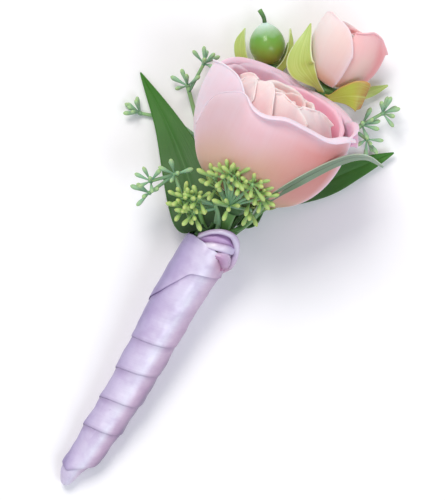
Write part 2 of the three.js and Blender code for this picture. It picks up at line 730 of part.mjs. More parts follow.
// Seeded eucalyptus sprigs
const fork = onBowl(0.3, -4, 4.2);
const leftHubs = [point(-10.6, 71.6, 19.8), point(-16.6, 76.6, 17), point(-21.0, 71.8, 15)];
const sprigs = {
  eucalyptus_front: {
    turn: 120,
    cutAt: 44,
    main: [point(-3, 74.6, 17.6), point(-4.8, 76.2, 21), point(-4.4, 76.8, 25), fork],
    branches: [
      { hub: fork, towards: point(-0.1, -0.3, 1), count: 4, spread: 60 },
      { from: fork, hub: onBowl(0.36, -24, 4.2), towards: point(-0.5, 0.1, 1), count: 6, spread: 85 },
      { from: fork, hub: onBowl(0.5, -2, 4.2), towards: point(-0.1, 0.1, 1), count: 6, spread: 85 },
      { from: fork, hub: onBowl(0.42, 13, 4.6), towards: point(0.3, -0.2, 1), count: 5, spread: 80 },
      { from: point(-4.2, 75.6, 19.6), hub: leftHubs[0], towards: point(-0.2, -0.4, 1), count: 7 },
      { from: leftHubs[0], hub: leftHubs[1], towards: point(-0.1, 0.3, 1), count: 5 },
      { from: leftHubs[1], hub: leftHubs[2], towards: point(-0.5, -0.2, 0.7), count: 6 },
      { from: fork, hub: point(1.2, 75.2, 28.6), towards: point(0.4, -0.6, 0.8), count: 5 },
    ],
  },
  eucalyptus_left: {
    turn: 210,
    cutAt: 40,
    main: [
      point(-4.4, 76, 8.6), point(-8.4, 80.8, 3.2), point(-14, 86.4, 1),
      point(-21, 93, 1.6), point(-25.6, 97.4, 4.4),
    ],
    branches: [
      { hub: point(-25.6, 97.4, 4.4), towards: point(-0.5, 0.3, 0.6), count: 3 },
      { from: point(-24.6, 96.4, 3.9), hub: point(-25, 104, 6.4), towards: point(-0.1, 0.8, 0.5), count: 5 },
      {
        from: point(-15.4, 87.8, 1),
        by: point(-24, 88.4, 0.8),
        hub: point(-32, 85.8, 1.3),
        towards: point(-1, 0, 0.6),
        count: 5,
        spread: 30,
      },
    ],
  },
  eucalyptus_right: {
    turn: 330,
    cutAt: 42,
    main: [
      point(4, 77, 8), point(6.2, 84, 2.6), point(8.6, 92, 1),
      point(12.6, 104.6, 1.2), point(15.4, 111.4, 4.4),
    ],
    branches: [
      { hub: point(15.4, 111.4, 4.4), towards: point(0.7, 0.2, 0.6), count: 5 },
      {
        from: point(14.4, 109.4, 3.4),
        hub: point(18.8, 107.6, 6),
        towards: point(0.8, -0.2, 0.6),
        count: 3,
      },
      { from: point(15.4, 111.4, 4.4), hub: point(18.2, 116.4, 6), towards: point(0.5, 0.8, 0.5), count: 5 },
    ],
  },
};
for (const [name, spec] of Object.entries(sprigs)) {
  boutonniere.add(piece(name, sprig(spec), colours.eucalyptus));
}

// A point on the front of the wound handle, at its place in plan and lifted off the surface.
function onHandle(x, y, lift) {
  const rise = rad(handleRise);
  const radius = handleRadius(y / Math.cos(rise));
  const side = THREE.MathUtils.clamp(x, -radius, radius);
  const height = Math.sqrt(radius * radius - side * side);
  const along = (y + height * Math.sin(rise)) / Math.cos(rise);
  return point(x, y, handleTipHeight + along * Math.sin(rise) + height * Math.cos(rise) + lift);
}

const knotLoop = [
  onHandle(-5.6, 65.6, -0.8),
  onHandle(-3.4, 69.2, 0.2),
  onHandle(0.4, 71.2, 0.5),
  onHandle(4.0, 71.0, 0.5),
  onHandle(6.0, 68.4, 0.6),
  onHandle(5.8, 65, 0.2),
  onHandle(3.6, 62.6, -0.7),
];
const knotBand = [
  onHandle(-5.8, 68.2, -0.9), onHandle(-2, 67.4, 0.1), onHandle(2, 66, 0.4), onHandle(5.4, 63, -0.6),
];
const knot = [stem(knotLoop, knotLoopRadius, 14), stem(knotBand, knotBandRadius, 6)];
boutonniere.add(piece("stem_tape", tape(), colours.tape));
boutonniere.add(piece("satin_ribbon", ribbon(knot), colours.ribbon));

// The middle of the box, at the table, is the origin.
const box = new THREE.Box3().setFromObject(boutonniere);
const middle = box.getCenter(point(0, 0, 0));
boutonniere.position.set(-middle.x, -middle.y, -box.min.z);

export default boutonniere;
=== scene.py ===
import math
import random

import bpy
from mathutils import Matrix, Vector, noise


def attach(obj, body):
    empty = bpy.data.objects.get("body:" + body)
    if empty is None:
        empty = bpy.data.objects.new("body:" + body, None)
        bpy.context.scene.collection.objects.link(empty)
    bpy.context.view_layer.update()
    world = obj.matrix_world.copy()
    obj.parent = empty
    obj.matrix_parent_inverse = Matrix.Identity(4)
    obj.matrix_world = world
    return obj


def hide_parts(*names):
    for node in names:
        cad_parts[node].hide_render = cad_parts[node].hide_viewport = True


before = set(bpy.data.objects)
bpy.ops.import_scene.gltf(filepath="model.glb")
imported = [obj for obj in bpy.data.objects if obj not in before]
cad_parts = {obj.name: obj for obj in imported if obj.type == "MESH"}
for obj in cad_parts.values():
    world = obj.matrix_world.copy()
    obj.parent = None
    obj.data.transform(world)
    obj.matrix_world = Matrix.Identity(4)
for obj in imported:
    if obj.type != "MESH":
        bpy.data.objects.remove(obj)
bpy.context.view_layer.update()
bpy.ops.object.select_all(action="DESELECT")
scene = bpy.context.scene
rng = random.Random(7)
mm = 0.001
tipShift = Vector((5.581, -66.397, 0.0))  # from the tip of the handle to the frame's own origin

# Camera

view = {"centre": (8.0, 1.485, 20.0), "turned": 31.5, "distance": 1500.0, "tall": 120.0, "sensor": 36.0}


def addCamera():
    x, y, z = view["centre"]
    bpy.ops.object.camera_add(
        location=(x * mm, y * mm, (z + view["distance"]) * mm),
        rotation=(0, 0, math.radians(view["turned"])),
    )
    camera = bpy.context.object
    camera.data.sensor_width = view["sensor"]
    camera.data.lens = view["sensor"] * view["distance"] / view["tall"]
    camera.data.clip_start = 0.1
    camera.data.clip_end = 10
    camera.data.dof.use_dof = False
    scene.camera = camera


addCamera()
print("camera: straight above, handle to the lower left")

# Small tools


def toLinear(hexColour):
    channels = [int(hexColour[i : i + 2], 16) / 255 for i in (1, 3, 5)]
    return [c / 12.92 if c <= 0.04045 else ((c + 0.055) / 1.055) ** 2.4 for c in channels] + [1.0]


# Gives each input a value, the socket that it is linked from, or a node, for its first output.
def setInputs(tree, node, inputs):
    for key, value in inputs.items():
        if isinstance(value, bpy.types.Node):
            value = next(socket for socket in value.outputs if socket.enabled)
        if isinstance(value, bpy.types.NodeSocket):
            tree.links.new(value, node.inputs[key])
        else:
            node.inputs[key].default_value = value


def addNode(tree, kind, settings={}, inputs={}):
    node = tree.nodes.new("ShaderNode" + kind)
    for key, value in settings.items():
        setattr(node, key, value)
    setInputs(tree, node, inputs)
    return node


def newMaterial(name, finish):
    material = bpy.data.materials.new(name)
    material.use_nodes = True
    tree = material.node_tree
    shader = tree.nodes["Principled BSDF"]
    setInputs(tree, shader, finish)
    return material, tree, shader


# Lays a tint over a colour. The tint's share goes from one value to another as the amount crosses a span.
def layTint(tree, colour, amount, span, shares, tint, blend="MULTIPLY"):
    share = addNode(tree, "MapRange", inputs={
        "Value": amount, "From Min": span[0], "From Max": span[1], "To Min": shares[0], "To Max": shares[1],
    })
    settings = {"data_type": "RGBA", "blend_type": blend}
    return addNode(tree, "Mix", settings, {"Factor": share, "A": colour, "B": toLinear(tint)})


def toFrame(p):
    return (p + tipShift) * mm


# A smooth curve through pairs of values, level past its ends and at its turning points.
def smoothValue(pairs, x):
    xs, ys = zip(*pairs)
    x = min(max(x, xs[0]), xs[-1])
    slopes = [(y1 - y0) / (x1 - x0) for (x0, y0), (x1, y1) in zip(pairs, pairs[1:])]
    tangents = [slopes[0]]
    for before, after in zip(slopes, slopes[1:]):
        tangents.append(0 if before * after <= 0 else 2 * before * after / (before + after))
    tangents.append(slopes[-1])
    i = max(k for k in range(len(slopes)) if xs[k] <= x)
    step = xs[i + 1] - xs[i]
    t = (x - xs[i]) / step
    return (
        ys[i] * (1 + 2 * t) * (1 - t) ** 2
        + tangents[i] * step * t * (1 - t) ** 2
        + ys[i + 1] * t * t * (3 - 2 * t)
        + tangents[i + 1] * step * t * t * (t - 1)
    )


def drift(x, y, z):
    return noise.noise(Vector((x, y, z)))


def smoothStep(low, high, x):
    t = min(1, max(0, (x - low) / (high - low)))
    return t * t * (3 - 2 * t)


# A smooth route through points, closer to the chords where the points are close together.
def smoothRoute(points):
    first = points[0] * 2 - points[1]
    last = points[-1] * 2 - points[-2]
    line = [first, *points, last]

    def at(share):
        spot = min(max(share, 0), 1) * (len(points) - 1)
        i = min(int(spot), len(points) - 2)
        w = spot - i
        p0, p1, p2, p3 = line[i : i + 4]
        d0, d1, d2 = (max((b - a).length ** 0.5, 1e-4) for a, b in ((p0, p1), (p1, p2), (p2, p3)))
        t1 = ((p1 - p0) / d0 - (p2 - p0) / (d0 + d1) + (p2 - p1) / d1) * d1
        t2 = ((p2 - p1) / d1 - (p3 - p1) / (d1 + d2) + (p3 - p2) / d2) * d1
        a = (p1 - p2) * 2 + t1 + t2
        b = (p2 - p1) * 3 - t1 * 2 - t2
        return p1 + t1 * w + b * w * w + a * w ** 3

    return at


# Sideways and up at a share of a route, for a blade whose upper side faces a given way.
def bladeFrame(at, b, step, faces):
    ahead = (at(b + step) - at(b - step)).normalized()
    side = ahead.cross(Vector(faces)).normalized()
    return side, side.cross(ahead).normalized()


def flowerFrame(flower):
    left, up = math.radians(flower["left"]), math.radians(flower["up"])
    axis = Vector((-math.sin(left) * math.cos(up), math.cos(left) * math.cos(up), math.sin(up)))
    right = axis.cross(Vector((0, 0, 1))).normalized()
    down = axis.cross(right)
    place = Matrix((right, down, axis)).transposed().to_4x4()
    place.translation = Vector(flower["base"])
    return place


# A grid whose points go where shape(a, b) says: a from -1 to 1 across it, b from 0 to 1 along it.
def gridPiece(name, across, along, shape, material):
    bpy.ops.mesh.primitive_grid_add(x_subdivisions=across, y_subdivisions=along, size=2)
    piece = bpy.context.object
    piece.name = piece.data.name = name
    piece.data.materials.append(material)
    for vertex in piece.data.vertices:
        vertex.co = toFrame(shape(vertex.co.x, (vertex.co.y + 1) / 2))
    return piece


def applyModifier(piece, kind, **settings):
    modifier = piece.modifiers.new(kind.title(), kind)
    for key, value in settings.items():
        setattr(modifier, key, value)
    bpy.context.view_layer.objects.active = piece
    bpy.ops.object.modifier_apply(modifier=modifier.name)


# Gives a sheet its thickness and rounds it.
def thicken(piece, thickness, **settings):
    applyModifier(piece, "SOLIDIFY", thickness=thickness * mm, **settings)
    applyModifier(piece, "SUBSURF", levels=1, render_levels=1)


def closeSeam(piece):
    bpy.ops.object.select_all(action="DESELECT")
    piece.select_set(True)
    bpy.context.view_layer.objects.active = piece
    bpy.ops.object.mode_set(mode="EDIT")
    bpy.ops.mesh.select_all(action="SELECT")
    bpy.ops.mesh.remove_doubles(threshold=2e-6)
    bpy.ops.mesh.normals_make_consistent(inside=False)
    bpy.ops.object.mode_set(mode="OBJECT")


def joinPieces(name, parts):
    bpy.ops.object.select_all(action="DESELECT")
    for part in parts:
        part.select_set(True)
    bpy.context.view_layer.objects.active = parts[0]
    if len(parts) > 1:
        bpy.ops.object.join()
    piece = bpy.context.view_layer.objects.active
    piece.name = piece.data.name = name
    for polygon in piece.data.polygons:
        polygon.use_smooth = True
    bpy.ops.object.select_all(action="DESELECT")
    return piece


def handIn(piece, slotName, *nodes):
    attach(piece, "root")
    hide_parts(*nodes)


# The step along a closed body for a share of its grid. At its ends one more row closes it.
def closedRow(b, steps):
    row = round(b * (steps + 2)) - 1
    step = min(max(row, 0), steps)
    return step, row != step


# A round body along a smooth route, closed at both ends. radius is a number or a rule of the share.
def tubePiece(name, route, radius, material, sides=8, steps=24):
    at = smoothRoute([Vector(p) for p in route])
    widthAt = radius if callable(radius) else lambda share: radius
    centres = [at(i / steps) for i in range(steps + 1)]
    side = None
    rings = []
    for i, centre in enumerate(centres):
        ahead = (centres[min(i + 1, steps)] - centres[max(i - 1, 0)]).normalized()
        side = (side if side else ahead.orthogonal()).copy()
        side = (side - ahead * side.dot(ahead)).normalized()
        rings.append((centre, side, ahead.cross(side)))

    def shape(a, b):
        i, atEnd = closedRow(b, steps)
        centre, x, y = rings[i]
        reach = 0 if atEnd else widthAt(i / steps)
        turn = math.pi * a
        return centre + x * reach * math.cos(turn) + y * reach * math.sin(turn)

    piece = gridPiece(name, sides, steps + 2, shape, material)
    closeSeam(piece)
    return piece


# A turned body from (radius, height) pairs, in a frame of its own.
def turnedPiece(name, profile, sides, place, material):
    rows = len(profile) - 1

    def shape(a, b):
        radius, height = profile[round(b * rows)]
        turn = math.pi * a
        return place @ Vector((radius * math.sin(turn), -radius * math.cos(turn), height))

    piece = gridPiece(name, sides, rows, shape, material)
    closeSeam(piece)
    return piece


def standing(place, direction):
    turn = Vector((0, 0, 1)).rotation_difference(Vector(direction)).to_matrix().to_4x4()
    turn.translation = Vector(place)
    return turn


# Materials


# Rose petal: thin, velvety and a little see-through, with fine veins from root to rim. A blush deepens
# it towards the root, partly its own colour and partly painted shade of the cup's hollows, and faint clouds
# break up its colour.
def makePetal(name, blushAndShade, depth):
    material, tree, shader = newMaterial(name, {
        "Roughness": 0.62, "IOR": 1.4, "Sheen Weight": 0.12, "Sheen Roughness": 0.5,
        "Subsurface Weight": 0.45, "Subsurface Scale": 0.002, "Subsurface Radius": (1.0, 0.45, 0.4),
    })
    own = addNode(tree, "Attribute", {"attribute_name": "petalColour"})
    place = addNode(tree, "TexCoord")
    parts = addNode(tree, "SeparateXYZ", inputs={"Vector": place.outputs["UV"]})
    stretched = addNode(tree, "Mapping", inputs={"Vector": place.outputs["UV"], "Scale": (46, 2.2, 1)})
    veins = addNode(tree, "TexNoise", inputs={
        "Vector": stretched, "Scale": 1.0, "Detail": 3.0, "Roughness": 0.6, "Distortion": 0.5,
    })
    clouds = addNode(tree, "TexNoise", inputs={
        "Vector": place.outputs["Object"], "Scale": 130.0, "Detail": 2.0,
    })
    # deeper towards the root: partly the petal's own colour, partly painted shade in the cup's hollows
    colour = layTint(tree, own, parts.outputs["Y"], (0.4, 0.68), (depth, 0), blushAndShade, "MIX")
    colour = layTint(tree, colour, veins, (0.35, 0.75), (0, 0.07), "#F2B6B8")
    colour = layTint(tree, colour, clouds, (0.4, 0.7), (0, 0.12), "#F6C9C4")
    bump = addNode(tree, "Bump", inputs={"Height": veins, "Strength": 0.12, "Distance": 0.00012})
    setInputs(tree, shader, {"Base Color": colour, "Normal": bump})
    return material


# Green leaf or sepal: waxy, with parallel veins along it, a midrib and a paler edge.
def makeLeaf(name, look):
    material, tree, shader = newMaterial(name, {
        "Roughness": look["roughness"], "IOR": 1.45, "Subsurface Weight": 0.1, "Subsurface Scale": 0.0008,
        "Coat Weight": look["wax"], "Coat Roughness": 0.3,
    })
    root, tip, vein, edge, rib = look["colours"]
    place = addNode(tree, "TexCoord")
    parts = addNode(tree, "SeparateXYZ", inputs={"Vector": place.outputs["UV"]})
    lengthwise = addNode(tree, "ValToRGB", inputs={"Fac": parts.outputs["Y"]})
    lengthwise.color_ramp.elements[0].color = toLinear(root)
    lengthwise.color_ramp.elements[0].position = look["tipFrom"]
    lengthwise.color_ramp.elements[1].color = toLinear(tip)
    stretched = addNode(tree, "Mapping", inputs={
        "Vector": place.outputs["UV"], "Scale": (look["veins"], 1.6, 1),
    })
    veins = addNode(tree, "TexNoise", inputs={
        "Vector": stretched, "Scale": 1.0, "Detail": 2.0, "Roughness": 0.55,
    })
    fromMiddle = addNode(tree, "Math", {"operation": "SUBTRACT"}, {0: parts.outputs["X"], 1: 0.5})
    away = addNode(tree, "Math", {"operation": "ABSOLUTE"}, {0: fromMiddle})
    colour = layTint(tree, lengthwise, veins, (0.45, 0.7), (0, look["veinDepth"]), vein, "MIX")
    colour = layTint(tree, colour, away, (look["edgeFrom"], 0.5), (0, 1), edge, "MIX")
    colour = layTint(tree, colour, away, (0, look["rib"]), (0.75, 0), rib, "MIX")
    bump = addNode(tree, "Bump", inputs={"Height": veins, "Strength": 0.4, "Distance": 0.0002})
    setInputs(tree, shader, {"Base Color": colour, "Normal": bump})
    return material


# Smooth plant skin, such as a stem, pod or berry: greens that drift into each other along it.
def makeSkin(name, look):
    material, tree, shader = newMaterial(name, {
        "Roughness": look["roughness"], "IOR": 1.45, "Subsurface Weight": 0.15, "Subsurface Scale": 0.001,
        "Coat Weight": look["wax"], "Coat Roughness": 0.12,
    })
    place = addNode(tree, "TexCoord")
    parts = addNode(tree, "SeparateXYZ", inputs={"Vector": place.outputs["UV"]})
    drift = addNode(tree, "TexNoise", inputs={
        "Vector": place.outputs["Object"], "Scale": 420.0, "Detail": 3.0,
    })
    wander = addNode(tree, "Math", {"operation": "MULTIPLY_ADD"}, {
        0: drift, 1: look["wander"], 2: -0.5 * look["wander"],
    })
    share = addNode(tree, "Math", {"operation": "ADD"}, {0: parts.outputs["Y"], 1: wander})
    ramp = addNode(tree, "ValToRGB", inputs={"Fac": share})
    ramp.color_ramp.elements.new(look["middleAt"])
    stops = zip(ramp.color_ramp.elements, (0.15, look["middleAt"], 0.85), look["colours"])
    for element, position, colour in stops:
        element.position = position
        element.color = toLinear(colour)
    bump = addNode(tree, "Bump", inputs={"Height": drift, "Strength": 0.2, "Distance": 0.0001})
    setInputs(tree, shader, {"Base Color": ramp, "Normal": bump})
    return material


# Polyester satin: long floating threads give it a soft stripe of light along the handle, and soft patches
# of painted fold shade deepen its lilac. Its colours, painted shade and sheen among them, come with the
# mesh.
def makeSatin(ribbonWidth, ribbonLength):
    material, tree, shader = newMaterial("polyesterSatin", {
        "Roughness": 0.36, "IOR": 1.5, "Specular IOR Level": 0.75, "Anisotropic": 0.6,
        "Anisotropic Rotation": 0.25, "Sheen Weight": 0.15, "Sheen Roughness": 0.4,
    })
    place = addNode(tree, "TexCoord")
    own = addNode(tree, "Attribute", {"attribute_name": "satinColour"})
    threads = addNode(tree, "Mapping", inputs={  # 0.25 mm threads, coarse enough to show
        "Vector": place.outputs["UV"], "Scale": (ribbonWidth * 4, ribbonLength * 0.12, 1),
    })
    weave = addNode(tree, "TexNoise", inputs={
        "Vector": threads, "Scale": 1.0, "Detail": 2.0, "Roughness": 0.5,
    })
    foldShade = addNode(tree, "TexNoise", inputs={
        "Vector": place.outputs["Object"], "Scale": 260.0, "Detail": 3.0, "Roughness": 0.55,
    })
    # painted fold shade: noise patches of a deeper lilac
    colour = layTint(tree, own, foldShade, (0.4, 0.65), (0, 0.34), "#D2BBDA")
    colour = layTint(tree, colour, weave, (0.35, 0.65), (0, 0.07), "#BFA8D4")
    bump = addNode(tree, "Bump", inputs={"Height": weave, "Strength": 0.15, "Distance": 0.00008})
    setInputs(tree, shader, {"Base Color": colour, "Normal": bump})
    return material


# Florist's crepe paper tape: matt green, with fine cross ripples.
def makeCrepe():
    material, tree, shader = newMaterial("crepePaperTape", {"Roughness": 0.85, "IOR": 1.45})
    place = addNode(tree, "TexCoord")
    ripples = addNode(tree, "TexWave", {"bands_direction": "Y"}, {
        "Vector": place.outputs["Object"], "Scale": 320.0, "Distortion": 3.0, "Detail": 2.0,
    })
    colour = addNode(tree, "ValToRGB", inputs={"Fac": ripples.outputs["Fac"]})
    colour.color_ramp.elements[0].color = toLinear("#2C4A2A")
    colour.color_ramp.elements[1].color = toLinear("#4C7343")
    bump = addNode(tree, "Bump", inputs={
        "Height": ripples.outputs["Fac"], "Strength": 0.5, "Distance": 0.0002,
    })
    setInputs(tree, shader, {"Base Color": colour, "Normal": bump})
    return material


# Leaf looks: "veins" counts them across the blade, "edgeFrom" and "rib" are shares of its width from the
# middle, "tipFrom" is the share of its length where the tip's colour begins, and the colours are those of
# root, tip, veins, edge and midrib.
ruscusLook = {
    "roughness": 0.55, "wax": 0.06, "veins": 26.0, "veinDepth": 0.12, "edgeFrom": 0.475, "rib": 0.02,
    "tipFrom": 0.0, "colours": ("#183A0E", "#387A14", "#3B7420", "#47792F", "#3C7426"),
}
# The high right leaf: its paler underside, with a painted glare that makes it whitish grey-green towards
# the tip and along the edges
undersideGlareLook = {
    **ruscusLook, "roughness": 0.42, "wax": 0.3, "veinDepth": 0.25, "edgeFrom": 0.44, "rib": 0.03,
    "colours": ("#3E5C2E", "#A2B29E", "#7C926E", "#B4C4AE", "#6C8A5C"),
}
sepalLook = {
    "roughness": 0.42, "wax": 0.3, "veins": 18.0, "veinDepth": 0.5, "edgeFrom": 0.43, "rib": 0.03,
    "tipFrom": 0.0, "colours": ("#B9C352", "#B0CB6E", "#CEDB92", "#E4EFC8", "#C9DA82"),
}
reddenedLook = {
    **sepalLook, "veinDepth": 0.4, "edgeFrom": 0.42, "tipFrom": 0.62,
    "colours": ("#AEBB48", "#B5743F", "#C0CC68", "#C99A58", "#C4D070"),
}
shadedLook = {
    **sepalLook, "roughness": 0.6, "wax": 0.05, "veinDepth": 0.3, "edgeFrom": 0.45,
    "colours": ("#5E7A2E", "#7F9A4A", "#8AA656", "#8CA45A", "#88A452"),
}

# Skin looks: three colours from the low end to the high one, and how far they wander.
podLook = {"roughness": 0.55, "wax": 0.05, "wander": 0.5, "middleAt": 0.5}
ripePodLook = {**podLook, "colours": ("#84AC6E", "#A4C472", "#BED27C")}
youngPodLook = {**podLook, "colours": ("#86B292", "#9CC49A", "#A9CC8C")}
sprigLook = {**podLook, "roughness": 0.5, "colours": ("#6E9A74", "#86AF86", "#93BC7F")}
stemLook = {**podLook, "roughness": 0.45, "wax": 0.1, "colours": ("#34562C", "#45703A", "#6B9A54")}
# the high colour is a painted highlight over the berry's top
berryLook = {
    "roughness": 0.48, "wax": 0.4, "wander": 0.12, "middleAt": 0.6,
    "colours": ("#8A8420", "#6BA43A", "#D3EADC"),
}

petalOutside = makePetal("rosePetalOutside", "#F3B4B6", 0.1)
petalInside = makePetal("rosePetalInside", "#F490AE", 0.35)
budOutside = makePetal("rosebudPetalOutside", "#F4A79C", 0.06)
budInside = makePetal("rosebudPetalInside", "#F08C84", 0.3)
ruscus = makeLeaf("waxyRuscusLeaf", ruscusLook)
ruscusUndersideGlare = makeLeaf("ruscusLeafUndersideGlare", undersideGlareLook)
sepalSkin = makeLeaf("roseSepal", sepalLook)
redSepal = makeLeaf("roseSepalReddened", reddenedLook)
hipSepal = makeLeaf("roseSepalShaded", shadedLook)
stemSkin = makeSkin("greenStem", stemLook)
podSkin = makeSkin("eucalyptusPod", ripePodLook)
palePod = makeSkin("eucalyptusPodYoung", youngPodLook)
sprigSkin = makeSkin("eucalyptusStem", sprigLook)
berrySkin = makeSkin("glossyBerry", berryLook)
crepe = makeCrepe()
print("materials: petals, leaves, stems, satin, tape")

# Petals

# Each flower sits on a base and leans left and up from it, in degrees. Its petals follow a bowl.
rose = {
    "radius": 19.2, "height": 26.0, "close": 104.0, "base": (-1.2, 82, 18), "left": 6, "up": 16,
    "seat": [(0, -0.8), (5.0, -0.5), (7.6, 0.5), (8.0, 2.4), (6.0, 3.4), (0, 3.6)],
    "skins": (petalOutside, petalInside),
}
bud = {
    "radius": 7.7, "height": 17.4, "close": 128.0, "base": (3.5, 116.1, 5.3), "left": 5, "up": 20,
    "seat": [(0, -0.4), (2.4, -0.2), (3.4, 0.4), (3.4, 1.6), (2.0, 2.4), (0, 2.6)],
    "skins": (budOutside, budInside),
}
berry = {
    "base": (-11.4, 112.2, 4.8), "left": 38, "up": 12,
    "body": [(0, 0.05), (1.0, 0.12), (2.0, 0.5), (3.0, 1.3), (3.8, 2.4), (4.3, 3.6), (4.45, 4.7),
             (4.3, 6.0), (3.8, 7.3), (3.0, 8.5), (2.0, 9.4), (1.1, 10.0), (0.5, 10.4), (0, 10.5)],
    "style": [(0, 0, 9.6), (-0.1, 0, 11.6), (-0.9, 0, 13.6)],
}
for flower in (rose, bud, berry):
    flower["frame"] = flowerFrame(flower)


# Radius and height of a bowl at a share of the way up it. Past 90 degrees of close it narrows again.
def bowl(radius, height, close, share):
    swing = math.radians(close) * share
    r = radius * max(math.sin(swing), 0.001) ** 0.85
    return r, height * (1 - math.cos(swing)) / (1 - math.cos(math.radians(close)))


petalForm = {
    "share": 1.0,  # how much of the flower's radius its bowl takes
    "root": 0.17,  # the share of the bowl where petals begin
    "bodyEnd": 0.68,  # the share of the petal where its lip begins to roll
    "bowlLength": 38,  # millimetres over the whole bowl
    "corner": 0.2,  # how much lower its corners end than its middle
    "out": 0,
    "twist": 0,
    "rightCurl": 0,
    "ripple": 0.35,
    "sway": 0.5,
    "ruffle": 0,
}
petalThickness = 0.4


# A petal follows a bowl up to its lip, and rolls outward from there. "rim" says how far up the bowl it
# reaches at each turn round the flower, "lip" is the radius of the roll and "curl" its angle. "ripple",
# "sway" and "ruffle" are the heights of its waves.
def petalShape(flower, spec):
    spec = {**petalForm, "height": flower["height"], "close": flower["close"], **spec}
    radius, height, close = flower["radius"] * spec["share"], spec["height"], spec["close"]
    root, bodyEnd = spec["root"], spec["bodyEnd"]
    phase = spec["centre"] * 0.07

    def shape(a, b):
        turnDegrees = spec["centre"] + spec["half"] * a
        if "rim" in spec:
            top = smoothValue(spec["rim"], turnDegrees)
        else:
            top = 1 - spec["corner"] * abs(a) ** 2.6
        roll = spec["lip"]
        if isinstance(roll, list):
            roll = smoothValue(roll, turnDegrees)
        top = max(top - roll / spec["bowlLength"], root + 0.05)
        share = root + (top - root) * min(1, b / bodyEnd)
        r, h = bowl(radius, height, close, share)
        r1, h1 = bowl(radius, height, close, share + 0.002)
        ahead = Vector((r1 - r, h1 - h)).normalized()
        outward = Vector((ahead.y, -ahead.x))
        rolled = max(0, (b - bodyEnd) / (1 - bodyEnd)) * math.radians(spec["curl"])
        spot = Vector((r, h)) + ahead * roll * math.sin(rolled) + outward * roll * (1 - math.cos(rolled))
        grown = min(1, share * 6)
        edgeCurl = spec["rightCurl"] * max(0, (a - 0.55) / 0.45) ** 2
        wave = drift(turnDegrees * 0.045 + phase, b * 1.3, phase)
        sway = drift(turnDegrees * 0.03 - phase, 3.7, b * 0.8)
        crimp = drift(turnDegrees * 0.13 + phase, b * 2.0, 9.3 + phase)
        reach = spot.x + (spec["out"] + spec["twist"] * a + edgeCurl) * grown
        reach += spec["ripple"] * b * b * wave + spec["ruffle"] * crimp * b ** 3
        lift = spot.y + spec["sway"] * sway * b * b - 0.25 * edgeCurl
        turn = math.radians(turnDegrees)
        return flower["frame"] @ Vector((reach * math.sin(turn), -reach * math.cos(turn), lift))

    return shape


def mixColours(first, second, share):
    return [f * (1 - share) + s * share for f, s in zip(first, second)]


# Gives each point of a grid the colour that tint(spot, a, b) says, spot in mm from the handle's tip.
def paintPiece(piece, across, layerName, tint):
    layer = piece.data.attributes.new(layerName, "FLOAT_COLOR", "POINT")
    rows = len(piece.data.vertices) // (across + 1) - 1
    for vertex in piece.data.vertices:
        j, i = divmod(vertex.index, across + 1)
        layer.data[vertex.index].color = tint(vertex.co / mm - tipShift, 2 * i / across - 1, j / rows)


# Colours drift from the root over the body to the rim, and to one colour of its own on the right.
def petalTint(paint):
    root, body, upper, rim, right = [toLinear(colour) for colour in petalPaints[paint]]

    def tint(spot, a, b):
        colour = mixColours(root, body, smoothStep(0.1, 0.3, b))
        colour = mixColours(colour, upper, smoothStep(0.36, 0.62, b - 0.12 * a))
        colour = mixColours(colour, right, smoothStep(-0.15, 0.75, a) * smoothStep(0.1, 0.35, b))
        return mixColours(colour, rim, max(smoothStep(0.58, 0.8, b), smoothStep(0.84, 1, a)))

    return tint


def makePetalPiece(flower, spec, across, along):
    outside, inside = flower["skins"]
    piece = gridPiece("petal", across, along, petalShape(flower, spec), outside)
    piece.data.materials.append(inside)
    paintPiece(piece, across, "petalColour", petalTint(spec["paint"]))
    thicken(piece, petalThickness, offset=0, material_offset=1)
    return piece


petalPaints = {  # colours at the root, over the body, above it, at the rim and on the right
    # outer: the dark tan root is partly the petal's own colour, partly painted shade at the bottom of the
    # bloom
    "outer": ("#AE8A58", "#D9AE95", "#E5C0C6", "#F3DCE7", "#D78D84"),
    # pale: partly the petal's own lilac white, partly a painted highlight from the light at the upper left
    "pale": ("#E0C3A6", "#EAD3DC", "#EDD6E2", "#F2E2ED", "#EBCFDB"),
    "lilac": ("#E08F9C", "#F8A8C0", "#F8C2D8", "#F9D4E6", "#F0B4D6"),
    # cream: the deep pink root and body are partly painted shade in the creases between the inner petals
    "cream": ("#E87A8E", "#F0A3B0", "#FAD7D6", "#FDE9E6", "#F6C8CA"),
    "far": ("#F08CA2", "#FFA9C2", "#FFC2D6", "#FDD3E3", "#F9BAD4"),
    # its deep pink is partly painted shade in the hollow between the heart and the far wall
    "blushAndShade": ("#E66F90", "#F286A8", "#F8A6C0", "#FCC9D9", "#F3A2BE"),
    # heart: the deep root is partly painted shade in the creases at the heart
    "heart": ("#E2687F", "#EC8C9B", "#F5BABD", "#FBDCDA", "#F2AFB4"),
    "bud": ("#F0BE9E", "#F9E2DC", "#FBE9E6", "#FBE0E2", "#F6D3CC"),
    "budSide": ("#EDB598", "#F5CDC2", "#F5C4C2", "#F6C1C5", "#F0A0A0"),
}

